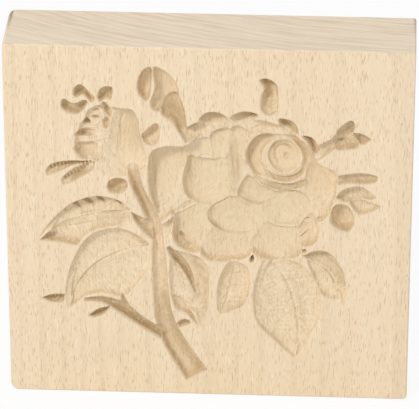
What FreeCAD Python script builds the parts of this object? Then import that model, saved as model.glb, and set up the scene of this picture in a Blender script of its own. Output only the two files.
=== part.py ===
import FreeCAD, Part
import math
import os

# Wooden cookie stamp: one planed block of beech, 20 mm thick, with a spray of
# roses cut into its broad front face. Dough pressed into the hollow takes the
# relief. The block stands on its lower edge, face towards -Y, grain upright.
# Origin: middle of the lower edge, at half the thickness. Lengths in mm.

width = 100.0
height = 97.0
thickness = 20.0

# The outline is a little uneven, as a sanded block is.
lower_left_radius = 2.4
lower_right_radius = 1.4
upper_corner_radius = 0.9
back_left_radius = 3.2
broken_edge = 0.45

# The spray is drawn on a face of this size and follows the block's size.
drawn_width = 100.0
drawn_height = 97.0
pattern_scale = min(width / drawn_width, height / drawn_height)

# Depths of the cut below the face, before carving_depth is applied.
carving_depth = 1.15
rose_level = 2.2
rose_rim = 1.4
heart_level = 2.7
leaf_level = 1.3
bud_depth = 3.2
petal_depth = 3.6
heart_depth = 4.4
leaf_depth = 2.4
leaflet_depth = 1.6

# The knife goes in steeply at the rim and the gouge rounds the floor.
wall_run = 0.36
inner_run = 0.8
clear_run = 0.02
wall_share = 0.5
overcut = 0.6
ground_inset = 0.5
shoulder_scale = 0.62
shoulder_share = 0.72
floor_scale = 0.26
chords_round_a_cup = 16
chords_along_an_edge = 5
flat_enough = 0.000001

face_y = -thickness / 2
face_middle_z = height / 2


def place(u, v, depth):
    """A point on the drawing, u to the right and v up from the middle of the face."""
    x = u * pattern_scale
    z = face_middle_z + v * pattern_scale
    return FreeCAD.Vector(x, face_y + depth, z)


def edge(points, chords=chords_along_an_edge):
    """Short chords along the smooth curve through a few points."""
    curve = Part.BSplineCurve()
    curve.interpolate([FreeCAD.Vector(u, v, 0) for u, v in points])
    return [(p.x, p.y) for p in curve.discretize(chords + 1)]


def loop(points, chords=chords_round_a_cup):
    """Chords round the smooth closed curve through a few points."""
    curve = Part.BSplineCurve()
    curve.interpolate([FreeCAD.Vector(u, v, 0) for u, v in points], PeriodicFlag=True)
    return [(p.x, p.y) for p in curve.discretize(chords + 1)][:-1]


def between(*edges):
    """One outline from edges that meet end to end, with a corner at each meeting."""
    outline = []
    for points in edges:
        outline += points[:-1]
    return outline


def oval(u, v, half_length, half_width, turn=0.0, chords=chords_round_a_cup):
    """An oval outline whose long axis is turned from the horizontal, in degrees."""
    cos_turn = math.cos(math.radians(turn))
    sin_turn = math.sin(math.radians(turn))
    outline = []
    for step in range(chords):
        angle = 2 * math.pi * step / chords
        along = half_length * math.cos(angle)
        across = half_width * math.sin(angle)
        outline.append((u + along * cos_turn - across * sin_turn,
                        v + along * sin_turn + across * cos_turn))
    return outline


def facet_solid(rings):
    """A closed solid of flat facets over rings that have the same count of corners."""
    faces = [Part.Face(Part.makePolygon(ring + ring[:1])) for ring in (rings[0], rings[-1])]
    for near, far in zip(rings[:-1], rings[1:]):
        for step in range(len(near)):
            a, b = near[step - 1], near[step]
            c, d = far[step], far[step - 1]
            twist = (b - a).cross(d - a).dot(c - a)
            if abs(twist) < flat_enough:
                faces.append(Part.Face(Part.makePolygon([a, b, c, d, a])))
            else:
                faces.append(Part.Face(Part.makePolygon([a, b, c, a])))
                faces.append(Part.Face(Part.makePolygon([a, c, d, a])))
    solid = Part.makeSolid(Part.makeShell(faces))
    if solid.Volume < 0:
        solid.reverse()
    return solid


def hollow(outline, levels, lean=(0.0, 0.0)):
    """Facets through copies of the outline: each level gives a scale, a share of lean, a depth."""
    middle_u = sum(u for u, v in outline) / len(outline)
    middle_v = sum(v for u, v in outline) / len(outline)
    rings = []
    for scale, share, depth in levels:
        ring = []
        for u, v in outline:
            ring.append(place(middle_u + lean[0] * share + (u - middle_u) * scale,
                              middle_v + lean[1] * share + (v - middle_v) * scale, depth))
        rings.append(ring)
    return facet_solid(rings)


def mean_reach(outline):
    """The mean distance of an outline from its middle."""
    middle_u = sum(u for u, v in outline) / len(outline)
    middle_v = sum(v for u, v in outline) / len(outline)
    return sum(math.hypot(u - middle_u, v - middle_v) for u, v in outline) / len(outline)


def ground(outline, depth):
    """A level hollow that several petals share, so that the ridges between them stay low.

    It is set in from the outline, where the petals cut their own rims.
    """
    depth = depth * carving_depth
    reach = mean_reach(outline)
    slope = wall_run / reach
    inside = 1 - ground_inset / reach
    return hollow(outline, [(inside + slope * overcut, 0.0, -overcut),
                            (inside - slope * depth, 0.0, depth)])


def cup(outline, depth, lean=(0.0, 0.0), rim=0.0):
    """A hollow with a steep rim and a rounded floor.

    The floor's middle is moved from the outline's by lean, which makes the wall
    steeper on that side and gentler on the other. The outline holds at the depth
    of the rim, which is below the face for a petal inside the rose. There the
    wall is gentler, and above it the cut runs almost straight out.
    """
    depth = depth * carving_depth
    rim = rim * carving_depth
    slope = (inner_run if rim else wall_run) / mean_reach(outline)
    wall_depth = rim + (depth - rim) * wall_share
    if rim:
        levels = [(1 + clear_run, 0.0, -overcut), (1, 0.0, rim)]
    else:
        levels = [(1 + slope * overcut, 0.0, -overcut)]
    levels += [(1 - slope * (wall_depth - rim), 0.15, wall_depth),
               (shoulder_scale, 0.6, wall_depth + (depth - wall_depth) * shoulder_share),
               (floor_scale, 1.0, depth)]
    return hollow(outline, levels, lean)


def groove(path, facets=4, rim=None):
    """A gouge stroke: each station gives u, v, half the width and the depth.

    Without a rim it has steep walls and a round floor. With one, it is a shallow
    bow that starts at the depth of the rim.
    """
    curve = Part.BSplineCurve()
    curve.interpolate([FreeCAD.Vector(u, v, 0) for u, v, half, depth in path])
    rings = []
    for u, v, half, depth in path:
        here = FreeCAD.Vector(u, v, 0)
        along = curve.tangent(curve.parameter(here))[0]
        depth = depth * carving_depth
        if rim is None:
            start = depth * wall_share
            top = half + wall_run * (start + overcut)
        else:
            start = rim * carving_depth
            top = half + clear_run
        profile = [(-top, -overcut)]
        for step in range(facets + 1):
            across = -math.cos(math.pi * step / facets)
            fall = math.sin(math.pi * step / facets) if rim is None else 1 - across ** 2
            profile.append((half * across, start + (depth - start) * fall))
        profile.append((top, -overcut))
        rings.append([place(u - along.y * s, v + along.x * s, level) for s, level in profile])
    return facet_solid(rings)


def arc_groove(u, v, radius, start, end, half, depth, stations=7, facets=4, rim=0.0):
    """A shallow gouge stroke round a centre, anticlockwise between two angles, thin at its ends."""
    path = []
    for step in range(stations):
        share = step / (stations - 1)
        angle = math.radians(start + (end - start) * share)
        swell = 0.35 + 0.65 * math.sin(math.pi * share) ** 0.4
        path.append((u + radius * math.cos(angle), v + radius * math.sin(angle),
                     half * swell, rim + (depth - rim) * swell))
    return groove(path, facets, rim)


def bar(rounded_edges):
    """The bare block with some of its edges rounded, each found by its middle point."""
    block = Part.makeBox(width, thickness, height, FreeCAD.Vector(-width / 2, face_y, 0))
    for middle, radius in rounded_edges:
        edges = [e for e in block.Edges if e.CenterOfMass.distanceToPoint(FreeCAD.Vector(*middle)) < 0.01]
        block = block.makeFillet(radius, edges)
    return block


def plain_block():
    """The block before carving: its outline, its plan and its side view meet in one solid."""
    left, right = -width / 2, width / 2
    front, back = face_y, face_y + thickness
    outline = bar([((left, 0, 0), lower_left_radius), ((right, 0, 0), lower_right_radius),
                   ((left, 0, height), upper_corner_radius), ((right, 0, height), upper_corner_radius)])
    plan = bar([((left, front, height / 2), broken_edge), ((right, front, height / 2), broken_edge),
                ((left, back, height / 2), back_left_radius), ((right, back, height / 2), broken_edge)])
    side = bar([((0, front, 0), broken_edge), ((0, back, 0), broken_edge),
                ((0, front, height), broken_edge), ((0, back, height), broken_edge)])
    return outline.common(plan).common(side)


def stem():
    """The cut stem, which runs up behind the left bud, and the twig on its left."""
    return [
        groove([(-18.6, 15.0, 1.4, 2.0), (-17.4, 10.0, 1.1, 2.6), (-14.8, 4.0, 1.2, 2.8),
                (-12.9, -1.0, 1.3, 2.7), (-12.3, -6.0, 1.1, 2.0)]),
        groove([(-12.5, -3.5, 1.0, 1.6), (-12.3, -9.0, 1.5, 2.8), (-11.8, -19.0, 1.6, 3.1),
                (-11.1, -26.0, 1.8, 3.1), (-8.7, -33.0, 2.4, 3.2), (-2.9, -43.0, 2.8, 2.6)], facets=5),
        groove([(-31.0, -21.8, 0.4, 0.8), (-26.2, -21.8, 0.8, 1.5), (-21.6, -24.0, 1.4, 2.2),
                (-16.8, -27.8, 1.1, 2.4), (-11.2, -31.5, 1.2, 2.6)]),
        groove([(-22.0, -19.1, 0.2, 0.6), (-21.4, -21.0, 0.4, 1.4), (-20.6, -23.6, 0.8, 2.0)], facets=3),
    ]


def twig_tips():
    """Two lens-shaped tips on the left and a hooked thorn on the right of the stem."""
    far_tip = between(edge([(-41.8, -21.6), (-39.0, -20.5), (-35.7, -20.4)], 3),
                      edge([(-35.7, -20.4), (-36.4, -22.7), (-39.2, -22.9), (-41.8, -21.6)], 3))
    near_tip = between(edge([(-30.1, -26.4), (-27.6, -24.4), (-24.2, -23.4)], 3),
                       edge([(-24.2, -23.4), (-26.0, -25.9), (-28.4, -27.0), (-30.1, -26.4)], 3))
    thorn = loop([(-4.3, -27.9), (-5.2, -26.9), (-6.7, -26.9), (-8.2, -28.4), (-8.3, -29.8),
                  (-6.2, -29.0)], 10)
    return [cup(far_tip, 1.7), cup(near_tip, 1.7), cup(thorn, 1.4)]


def left_bud():
    """The rosebud at the upper left: three sepals, the folded heart, and a broad petal round it."""
    sepal_above = loop([(-31.0, 38.1), (-32.5, 37.2), (-33.0, 35.6), (-32.2, 34.4), (-30.3, 34.9),
                        (-28.5, 33.2), (-27.5, 34.4), (-29.2, 36.4)])
    sepal_left = loop([(-35.3, 34.1), (-36.0, 32.2), (-34.6, 30.4), (-32.2, 29.8), (-30.4, 31.0),
                       (-29.3, 33.2), (-30.4, 33.9), (-32.8, 32.9)])
    sepal_right = loop([(-23.2, 37.2), (-24.9, 37.7), (-26.5, 36.7), (-27.1, 34.6), (-26.2, 33.3),
                        (-24.8, 34.2), (-23.6, 34.2)], 12)
    fold_left = loop([(-31.4, 27.2), (-30.6, 28.6), (-29.8, 29.5), (-28.4, 28.3), (-28.2, 27.1)], 8)
    band = loop([(-32.6, 25.0), (-30.6, 26.5), (-27.4, 26.1), (-24.4, 25.2), (-27.0, 24.2),
                 (-29.8, 23.4), (-31.6, 23.8)], 12)
    round_petal = loop([(-32.6, 21.6), (-31.0, 23.0), (-28.2, 22.6), (-27.0, 20.6), (-28.6, 18.5),
                        (-31.2, 18.8)])
    body = loop([(-23.4, 32.0), (-21.4, 31.8), (-18.6, 31.4), (-17.1, 28.6), (-16.6, 25.0),
                 (-15.4, 20.0), (-15.2, 16.4), (-18.0, 14.2), (-23.2, 12.9), (-27.8, 16.0),
                 (-26.9, 20.0), (-25.2, 23.6), (-23.8, 27.6)], 20)
    fold_right = loop([(-20.0, 30.5), (-18.8, 30.2), (-18.0, 28.2), (-17.8, 25.6), (-18.8, 23.8),
                       (-20.0, 25.2), (-20.4, 28.0)], 10)
    return [
        cup(sepal_above, 2.2), cup(sepal_left, 2.3), cup(sepal_right, 2.2),
        groove([(-25.2, 32.9, 0.4, 0.8), (-24.5, 31.4, 0.7, 1.5), (-23.6, 29.6, 0.4, 1.0)], facets=3),
        cup(oval(-27.4, 31.4, 1.7, 0.8, chords=8), 1.2),
        cup(oval(-27.5, 29.3, 1.5, 0.9, chords=8), 1.4),
        cup(fold_left, 1.9),
        cup(oval(-25.1, 28.0, 1.4, 1.8, chords=8), 1.8),
        cup(band, 2.1), cup(round_petal, 2.7),
        cup(body, bud_depth, (0.8, 0.8)), cup(fold_right, bud_depth + 0.6, rim=rose_level),
    ]


def left_leaflets():
    """Two narrow leaflets, a small leaf and the round hip beside the left bud."""
    upper = between(edge([(-39.7, 13.2), (-39.7, 15.4), (-37.4, 16.9), (-33.0, 17.5), (-27.8, 17.3)], 6),
                    edge([(-27.8, 17.3), (-31.5, 16.2), (-35.4, 15.0), (-39.7, 13.2)], 4))
    lower = between(edge([(-35.9, 10.7), (-36.1, 12.9), (-34.6, 14.1), (-33.2, 15.4)], 4),
                    edge([(-33.2, 15.4), (-30.4, 16.2), (-27.9, 17.0)], 2),
                    edge([(-27.9, 17.0), (-29.2, 15.0), (-31.8, 13.0), (-34.2, 11.0), (-35.9, 10.7)], 5))
    small_leaf = loop([(-12.8, 28.0), (-14.8, 26.4), (-16.7, 24.1), (-15.4, 22.2), (-13.2, 21.7),
                       (-11.9, 23.6), (-11.9, 26.6)], 10)
    return [cup(upper, leaflet_depth), cup(lower, leaflet_depth),
            cup(small_leaf, 2.3, (-0.5, 0.6)), cup(oval(-22.4, 10.4, 2.7, 2.3, 15), 2.6)]


def top_bud():
    """The tall bud above the rose, with a narrow petal on its left and a deep throat."""
    narrow = loop([(-14.3, 43.2), (-16.2, 41.8), (-17.4, 38.6), (-16.9, 35.6), (-15.2, 33.8),
                   (-14.0, 35.2), (-13.7, 38.6), (-13.4, 41.4)])
    body = loop([(-13.4, 43.0), (-10.6, 42.2), (-8.2, 39.6), (-7.0, 36.0), (-7.6, 33.0),
                 (-11.2, 31.0), (-13.4, 31.4), (-14.2, 33.6), (-13.1, 37.5)])
    throat = loop([(-9.8, 35.6), (-7.3, 35.6), (-5.8, 32.0), (-5.2, 28.0), (-5.4, 23.2),
                   (-6.9, 24.8), (-8.8, 28.0), (-11.4, 30.2), (-11.9, 33.0)])
    return [cup(narrow, 2.6), cup(body, 2.9), cup(throat, 3.7, (0.6, 0.4))]


def rose_ground():
    """The level that the petals of the open rose are sunk into."""
    return [ground(loop([(-13.6, 14.0), (-11.0, 19.8), (-4.6, 23.4), (1.0, 29.4), (9.0, 30.2),
                         (17.0, 28.8), (23.4, 24.0), (27.0, 16.4), (30.2, 10.0), (28.0, 3.4),
                         (24.6, -3.6), (17.0, -7.8), (6.0, -8.8), (-5.0, -6.2), (-8.0, 0.0),
                         (-11.4, 4.4)], 24), rose_level)]


def rose_crown():
    """The scalloped row of petals along the top of the open rose."""
    sepal = loop([(12.4, 40.3), (14.6, 40.6), (16.7, 38.8), (17.1, 35.5), (16.8, 32.0),
                  (14.6, 30.7), (12.8, 32.2), (12.7, 35.5), (13.4, 38.0)])
    far_left = loop([(-5.9, 26.2), (-3.6, 28.1), (-1.6, 28.4), (0.4, 26.2), (-0.6, 24.0),
                     (-3.6, 23.2), (-5.8, 22.8)])
    left = loop([(-2.4, 28.8), (-0.9, 30.9), (1.6, 31.4), (3.9, 30.5), (5.1, 29.0), (4.8, 26.6),
                 (1.8, 26.4), (-0.6, 26.4)])
    middle = loop([(5.1, 29.8), (7.2, 31.3), (9.6, 31.7), (12.2, 30.8), (10.8, 29.2), (8.6, 27.4),
                   (5.8, 26.4), (4.8, 28.0)])
    right = loop([(17.2, 30.0), (19.8, 29.6), (21.5, 28.0), (22.0, 26.0), (20.2, 25.2), (18.2, 26.4),
                  (17.2, 28.4)])
    return [cup(sepal, 2.7, (0.0, 0.8)), cup(far_left, 2.7, (0.0, 0.5)), cup(left, 3.0, (0.0, 0.6)),
            cup(middle, 2.9, (0.0, 0.5)), cup(right, 2.8, (0.2, 0.4)),
            arc_groove(15.0, 20.0, 8.2, 50, 148, 1.5, 3.3)]


def rose_left():
    """The petals that fall to the left of the heart."""
    outer = loop([(-14.0, 19.8), (-11.6, 21.3), (-8.4, 21.7), (-5.8, 21.2), (-4.4, 18.0),
                  (-5.4, 12.0), (-5.0, 6.6), (-8.6, 3.6), (-11.8, 0.9), (-13.2, 4.5), (-14.6, 10.0),
                  (-14.8, 15.5)], 18)
    inner = loop([(-4.8, 19.4), (-2.6, 18.8), (0.8, 18.6), (4.0, 18.8), (4.8, 14.0), (5.6, 10.4),
                  (4.6, 7.4), (1.0, 5.6), (-3.0, 6.0), (-5.7, 8.4), (-6.7, 12.5), (-5.8, 17.0)], 20)
    valley = loop([(5.8, 22.6), (7.4, 20.5), (8.5, 17.6), (8.5, 13.0), (7.4, 9.4), (5.8, 9.2),
                   (4.5, 12.5), (4.0, 17.0), (4.5, 20.5)])
    tucked_left = loop([(-4.9, 22.8), (-2.6, 24.0), (-0.2, 24.4), (0.9, 21.8), (0.3, 18.8),
                        (-2.6, 18.0), (-4.9, 19.8)], 10)
    tucked_middle = loop([(0.2, 24.9), (2.2, 26.7), (4.9, 27.0), (5.4, 23.5), (4.8, 20.0),
                          (2.0, 18.6), (0.2, 20.6)], 10)
    tucked_right = loop([(4.9, 26.4), (6.6, 27.8), (8.4, 27.2), (10.8, 25.4), (9.0, 23.0),
                         (7.9, 20.4), (5.8, 20.2), (4.7, 23.0)], 10)
    return [
        cup(outer, petal_depth, (-0.9, 0.8), rose_rim),
        cup(inner, petal_depth + 0.7, (-1.2, 0.0), rose_level),
        cup(valley, petal_depth + 1.1, rim=rose_level),
        cup(tucked_left, petal_depth - 0.3, (0.0, 0.5), rose_level),
        cup(tucked_middle, petal_depth, (0.0, 0.6), rose_level),
        cup(tucked_right, petal_depth, (-0.4, 0.2), rose_level),
    ]


def rose_heart():
    """The turned heart of the rose: one bowl with rings of petals cut into its floor."""
    side_petal = loop([(22.8, 25.4), (25.2, 25.0), (26.8, 22.8), (27.6, 20.9), (26.0, 19.6),
                       (24.9, 21.5), (24.0, 23.6)], 10)
    inside = {"rim": heart_level}
    return [
        cup(oval(17.8, 19.2, 8.4, 8.0, chords=20), heart_level + 0.3, rim=rose_level),
        cup(side_petal, 2.8),
        arc_groove(17.2, 18.8, 8.2, 100, 255, 1.45, heart_depth - 0.2, 8, **inside),
        arc_groove(18.3, 19.6, 5.5, 70, 365, 1.25, heart_depth, 12, **inside),
        arc_groove(17.2, 18.6, 7.6, -38, 62, 1.1, heart_depth - 0.3, 6, **inside),
        arc_groove(18.3, 19.6, 3.1, -50, 250, 0.9, heart_depth, 10, **inside),
        cup(oval(18.4, 19.2, 1.6, 1.8, chords=8), heart_depth - 0.1, rim=heart_level),
        arc_groove(18.3, 21.6, 10.3, 228, 302, 1.25, heart_depth - 0.5, 6, rim=rose_level),
    ]


def rose_skirt():
    """The broad lower petals of the rose."""
    lip = loop([(7.0, 8.6), (9.4, 6.5), (13.0, 5.7), (16.2, 7.4), (16.8, 9.8), (12.8, 11.6),
                (10.0, 14.2), (8.2, 12.6)])
    front = loop([(0.0, 4.6), (2.0, 6.6), (4.8, 8.0), (7.2, 8.2), (9.6, 6.4), (13.4, 5.6),
                  (14.8, 2.4), (12.8, -1.6), (8.4, -3.1), (4.0, -2.4), (1.0, -0.2), (-0.4, 2.2)], 20)
    middle = loop([(13.2, 7.8), (17.0, 10.1), (22.2, 10.2), (25.0, 7.6), (24.2, 3.2), (19.0, -0.4),
                   (15.0, 0.0), (13.1, 3.8)], 18)
    right = loop([(24.8, 19.4), (27.6, 17.3), (31.0, 15.4), (31.4, 11.0), (30.4, 6.0), (28.6, 2.4),
                  (25.6, 1.6), (23.6, 5.6), (23.4, 11.0), (23.6, 16.0)], 18)
    low_right = loop([(25.8, 3.2), (27.2, -1.2), (26.2, -4.6), (23.6, -5.8), (20.8, -5.0),
                      (21.6, -2.0), (23.4, 1.6)])
    low_middle = loop([(14.0, 1.2), (17.6, 0.0), (21.8, 0.2), (22.8, -2.4), (20.0, -5.7),
                       (15.0, -6.2), (11.4, -4.2), (11.8, -0.8)])
    left = loop([(-7.8, 3.6), (-5.4, 6.0), (-1.4, 7.0), (1.0, 4.6), (1.8, -1.0), (0.6, -5.8),
                 (-3.4, -7.9), (-7.2, -6.3), (-8.8, -3.0), (-8.6, 0.8)], 18)
    low_left = loop([(0.2, -1.6), (5.0, -2.2), (10.6, -2.2), (12.0, -6.0), (9.0, -9.3), (4.0, -10.4),
                     (-0.4, -9.6), (-2.2, -6.2)])
    hem = loop([(10.8, -3.8), (15.0, -5.0), (19.6, -4.8), (23.0, -5.2), (22.0, -8.4), (17.0, -9.9),
                (12.2, -8.6), (10.0, -6.6)])
    by_the_stem = between(edge([(-11.7, -0.4), (-10.2, 1.0), (-8.2, 2.6)], 2),
                          edge([(-8.2, 2.6), (-8.9, -1.0), (-10.6, -4.8)], 3),
                          edge([(-10.6, -4.8), (-11.5, -2.6), (-11.7, -0.4)], 2))
    return [
        cup(right, petal_depth, (0.3, 1.2), rose_rim),
        cup(middle, petal_depth + 0.3, (0.0, 0.5), rose_level),
        cup(left, petal_depth - 0.2, (-0.4, 0.0), rose_rim),
        cup(front, petal_depth + 0.3, (-0.4, -0.3), rose_level),
        cup(lip, heart_depth - 0.3, (-0.2, -0.3), rose_level),
        cup(low_middle, petal_depth - 0.3, rim=rose_level),
        cup(low_right, petal_depth - 0.5, rim=rose_rim),
        cup(low_left, petal_depth - 0.3, (0.0, 0.3), rose_rim),
        cup(hem, petal_depth - 0.6, rim=rose_rim),
        cup(oval(10.8, -9.2, 1.4, 0.9, 80, 8), 3.8),
        cup(by_the_stem, 1.6, (-0.2, 0.6)),
    ]


def right_bud():
    """The small bud at the right, its bent stalk and its two sepals."""
    body = loop([(30.0, 24.4), (31.4, 26.2), (34.4, 26.3), (36.2, 24.6), (36.6, 22.4), (33.8, 21.6),
                 (31.0, 21.8)], 10)
    sepal_above = loop([(34.8, 29.9), (33.0, 28.9), (31.5, 27.2), (31.2, 25.4), (33.6, 25.2),
                        (35.5, 26.6), (35.8, 28.4)], 10)
    sepal_right = between(edge([(34.9, 26.6), (37.2, 26.4), (39.9, 24.9)], 3),
                          edge([(39.9, 24.9), (38.2, 23.3), (36.0, 23.6), (34.9, 26.6)], 4))
    return [
        groove([(25.8, 19.4, 0.7, 1.4), (27.3, 21.6, 1.0, 1.8), (29.0, 22.9, 1.0, 1.9),
                (31.4, 23.8, 1.0, 2.0)]),
        cup(body, 2.4), cup(sepal_above, 2.2), cup(sepal_right, 2.2),
    ]


def right_leaves():
    """The three short leaves at the right of the rose."""
    upper = loop([(31.0, 14.2), (34.6, 15.3), (38.6, 15.5), (41.4, 14.6), (41.0, 13.0), (38.6, 12.4),
                  (34.4, 12.4), (31.4, 12.0)])
    middle = between(edge([(31.0, 8.4), (33.2, 10.9), (36.9, 11.9), (39.6, 10.4), (41.4, 8.6)], 5),
                     edge([(41.4, 8.6), (38.0, 7.5), (34.0, 7.3), (31.0, 8.4)], 4))
    middle_low = between(edge([(34.2, 7.8), (38.4, 7.9), (42.6, 6.4)], 3),
                         edge([(42.6, 6.4), (39.8, 4.5), (36.8, 4.2), (34.2, 7.8)], 4))
    lower = loop([(31.4, 6.7), (34.0, 6.5), (35.5, 4.4), (36.1, 1.6), (34.8, -0.9), (32.4, -0.6),
                  (30.3, 1.2), (30.0, 4.2)])
    return [cup(upper, 1.9), cup(middle, 2.1), cup(middle_low, 1.8), cup(lower, 2.7)]


def upper_left_leaf():
    """The leaf at the left of the stem, its upper half folded over, and its stalk."""
    folded = between(edge([(-42.2, -4.9), (-40.2, -1.4), (-37.2, 2.2), (-33.6, 5.4), (-28.0, 7.5),
                           (-22.6, 6.6), (-18.9, 3.9)], 9),
                     edge([(-18.9, 3.9), (-23.0, 2.7), (-29.0, 1.9), (-36.0, 0.2), (-42.2, -4.9)], 6))
    flat = between(edge([(-40.4, -3.9), (-35.0, 0.5), (-29.0, 1.9), (-19.8, 3.5)], 5),
                   edge([(-19.8, 3.5), (-19.4, -0.4), (-24.6, -0.6), (-30.2, -3.4), (-32.6, -6.4),
                         (-36.4, -5.8), (-40.4, -3.9)], 7))
    whole = loop([(-39.4, -2.4), (-35.0, 3.4), (-27.6, 6.6), (-20.6, 3.9), (-21.4, -0.6), (-30.6, -3.2),
                  (-33.6, -5.6)])
    stalk = between(edge([(-19.2, 3.5), (-16.6, 2.0), (-13.6, 0.9)], 3),
                    edge([(-13.6, 0.9), (-13.2, -2.0), (-13.6, -4.8)], 3),
                    edge([(-13.6, -4.8), (-16.4, -2.0), (-18.4, 1.0), (-19.2, 3.5)], 4))
    return [ground(whole, leaf_level), cup(folded, leaf_depth, (0.0, 0.5)), cup(flat, leaf_depth - 0.2),
            cup(stalk, leaf_depth + 0.2, (0.3, 0.3))]


def lower_left_leaf():
    """The large leaf at the lower left, hollowed on both sides of its rib."""
    outer = between(edge([(-14.6, -5.4), (-19.4, -2.2), (-24.6, -1.4), (-30.0, -4.2), (-33.8, -11.0),
                          (-35.6, -18.6), (-35.2, -25.6)], 9),
                    edge([(-35.2, -25.6), (-32.4, -17.8), (-28.0, -12.5), (-22.0, -8.9),
                          (-14.6, -5.4)], 5))
    inner = between(edge([(-14.6, -5.4), (-22.0, -8.1), (-28.0, -11.7), (-32.6, -17.0),
                          (-34.9, -24.6)], 5),
                    edge([(-34.9, -24.6), (-30.6, -21.1), (-26.0, -19.9), (-21.0, -20.6), (-17.2, -16.2),
                          (-14.4, -11.4), (-14.6, -5.4)], 8))
    whole = loop([(-16.2, -6.2), (-20.6, -3.0), (-29.4, -4.6), (-33.4, -12.0), (-34.9, -21.8),
                  (-30.2, -20.0), (-22.0, -20.4), (-16.2, -13.6)])
    return [ground(whole, leaf_level), cup(outer, leaf_depth, (-0.3, 0.6)), cup(inner, leaf_depth - 0.1)]


def stem_leaf():
    """The leaf close to the right of the stem, with a deep rib, a turned edge and a pointed tip."""
    right_half = between(edge([(-9.4, -6.8), (-5.0, -8.0), (-1.6, -9.6), (0.1, -13.4), (0.2, -20.0),
                               (-0.4, -25.0), (-1.9, -29.6)], 8),
                         edge([(-1.9, -29.6), (-3.1, -24.6), (-3.3, -19.6), (-5.4, -13.6),
                               (-9.4, -6.8)], 5))
    left_half = between(edge([(-9.6, -9.2), (-7.0, -12.6), (-4.8, -16.4), (-3.4, -20.4), (-3.3, -25.0)], 5),
                        edge([(-3.3, -25.0), (-5.8, -21.8), (-9.4, -18.8), (-9.6, -9.2)], 5))
    turned_edge = between(edge([(-9.7, -18.9), (-6.4, -21.3), (-4.2, -24.4), (-1.9, -29.6)], 4),
                          edge([(-1.9, -29.6), (-3.8, -27.2), (-5.4, -25.4), (-8.2, -23.8),
                                (-9.7, -18.9)], 5))
    whole = loop([(-8.6, -8.0), (-3.2, -9.6), (-0.4, -15.0), (-1.2, -24.6), (-6.6, -23.6),
                  (-9.0, -16.0)], 10)
    return [ground(whole, leaf_level), cup(right_half, leaf_depth + 0.2, (0.4, 0.4)),
            cup(left_half, leaf_depth - 0.5), cup(turned_edge, leaf_depth - 0.2),
            groove([(-10.0, -6.3, 0.4, 1.2), (-7.8, -9.8, 0.9, 2.9), (-5.2, -14.0, 0.9, 3.1),
                    (-3.3, -19.6, 0.3, 2.0)])]


def bottom_leaves():
    """The narrow leaf and the large leaf under the rose, and the folded leaf at their right."""
    narrow = loop([(5.0, -10.4), (3.0, -14.0), (2.1, -19.0), (2.7, -24.6), (5.8, -24.2), (9.0, -22.2),
                   (10.5, -17.0), (9.8, -12.0), (7.4, -10.2)])
    left_half = between(edge([(14.0, -8.2), (12.0, -14.0), (11.1, -20.0), (12.0, -26.8), (16.0, -31.8),
                              (21.9, -37.5)], 8),
                        edge([(21.9, -37.5), (21.9, -29.0), (20.2, -20.6), (17.4, -13.6),
                              (14.0, -8.2)], 5))
    right_half = between(edge([(14.0, -8.2), (18.2, -13.4), (21.2, -20.6), (22.7, -29.0),
                               (21.9, -37.5)], 5),
                         edge([(21.9, -37.5), (25.2, -31.2), (28.0, -24.6), (27.2, -16.6), (22.6, -10.2),
                               (14.0, -8.2)], 8))
    folded = between(edge([(23.2, -7.9), (26.6, -6.4), (30.0, -7.0), (33.2, -11.4), (34.3, -17.0),
                           (34.0, -22.2)], 7),
                     edge([(34.0, -22.2), (32.2, -17.4), (29.6, -12.6), (23.2, -7.9)], 5))
    flat = between(edge([(24.2, -8.4), (28.6, -11.4), (31.2, -15.0), (32.9, -20.0)], 4),
                   edge([(32.9, -20.0), (29.8, -19.7), (27.4, -17.6), (25.6, -12.6), (24.2, -8.4)], 5))
    large = loop([(14.6, -9.6), (12.0, -19.0), (14.0, -28.8), (21.4, -34.4), (26.6, -26.0), (25.8, -15.4),
                  (19.6, -9.4)])
    small = loop([(25.2, -8.4), (30.0, -8.2), (33.0, -13.6), (33.2, -19.0), (28.4, -18.4),
                  (26.0, -12.6)], 10)
    return [ground(large, leaf_level), ground(small, leaf_level), cup(narrow, leaf_depth, (-0.5, 0.0)),
            cup(left_half, leaf_depth), cup(right_half, leaf_depth - 0.2),
            cup(folded, leaf_depth, (0.3, 0.3)), cup(flat, leaf_depth - 0.5)]


def rose_spray():
    """Every cut of the carving, the rose first and the loose sprigs last."""
    return (rose_ground() + rose_crown() + rose_left() + rose_heart() + rose_skirt() + top_bud() + left_bud()
            + left_leaflets() + right_bud() + right_leaves() + upper_left_leaf() + lower_left_leaf()
            + stem_leaf() + bottom_leaves() + stem() + twig_tips())


def main():
    block = plain_block()
    for gouged in rose_spray():
        block = block.cut(gouged)
    os.makedirs("parts", exist_ok=True)
    block.exportStep("parts/stamp_block.step")


main()
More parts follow.
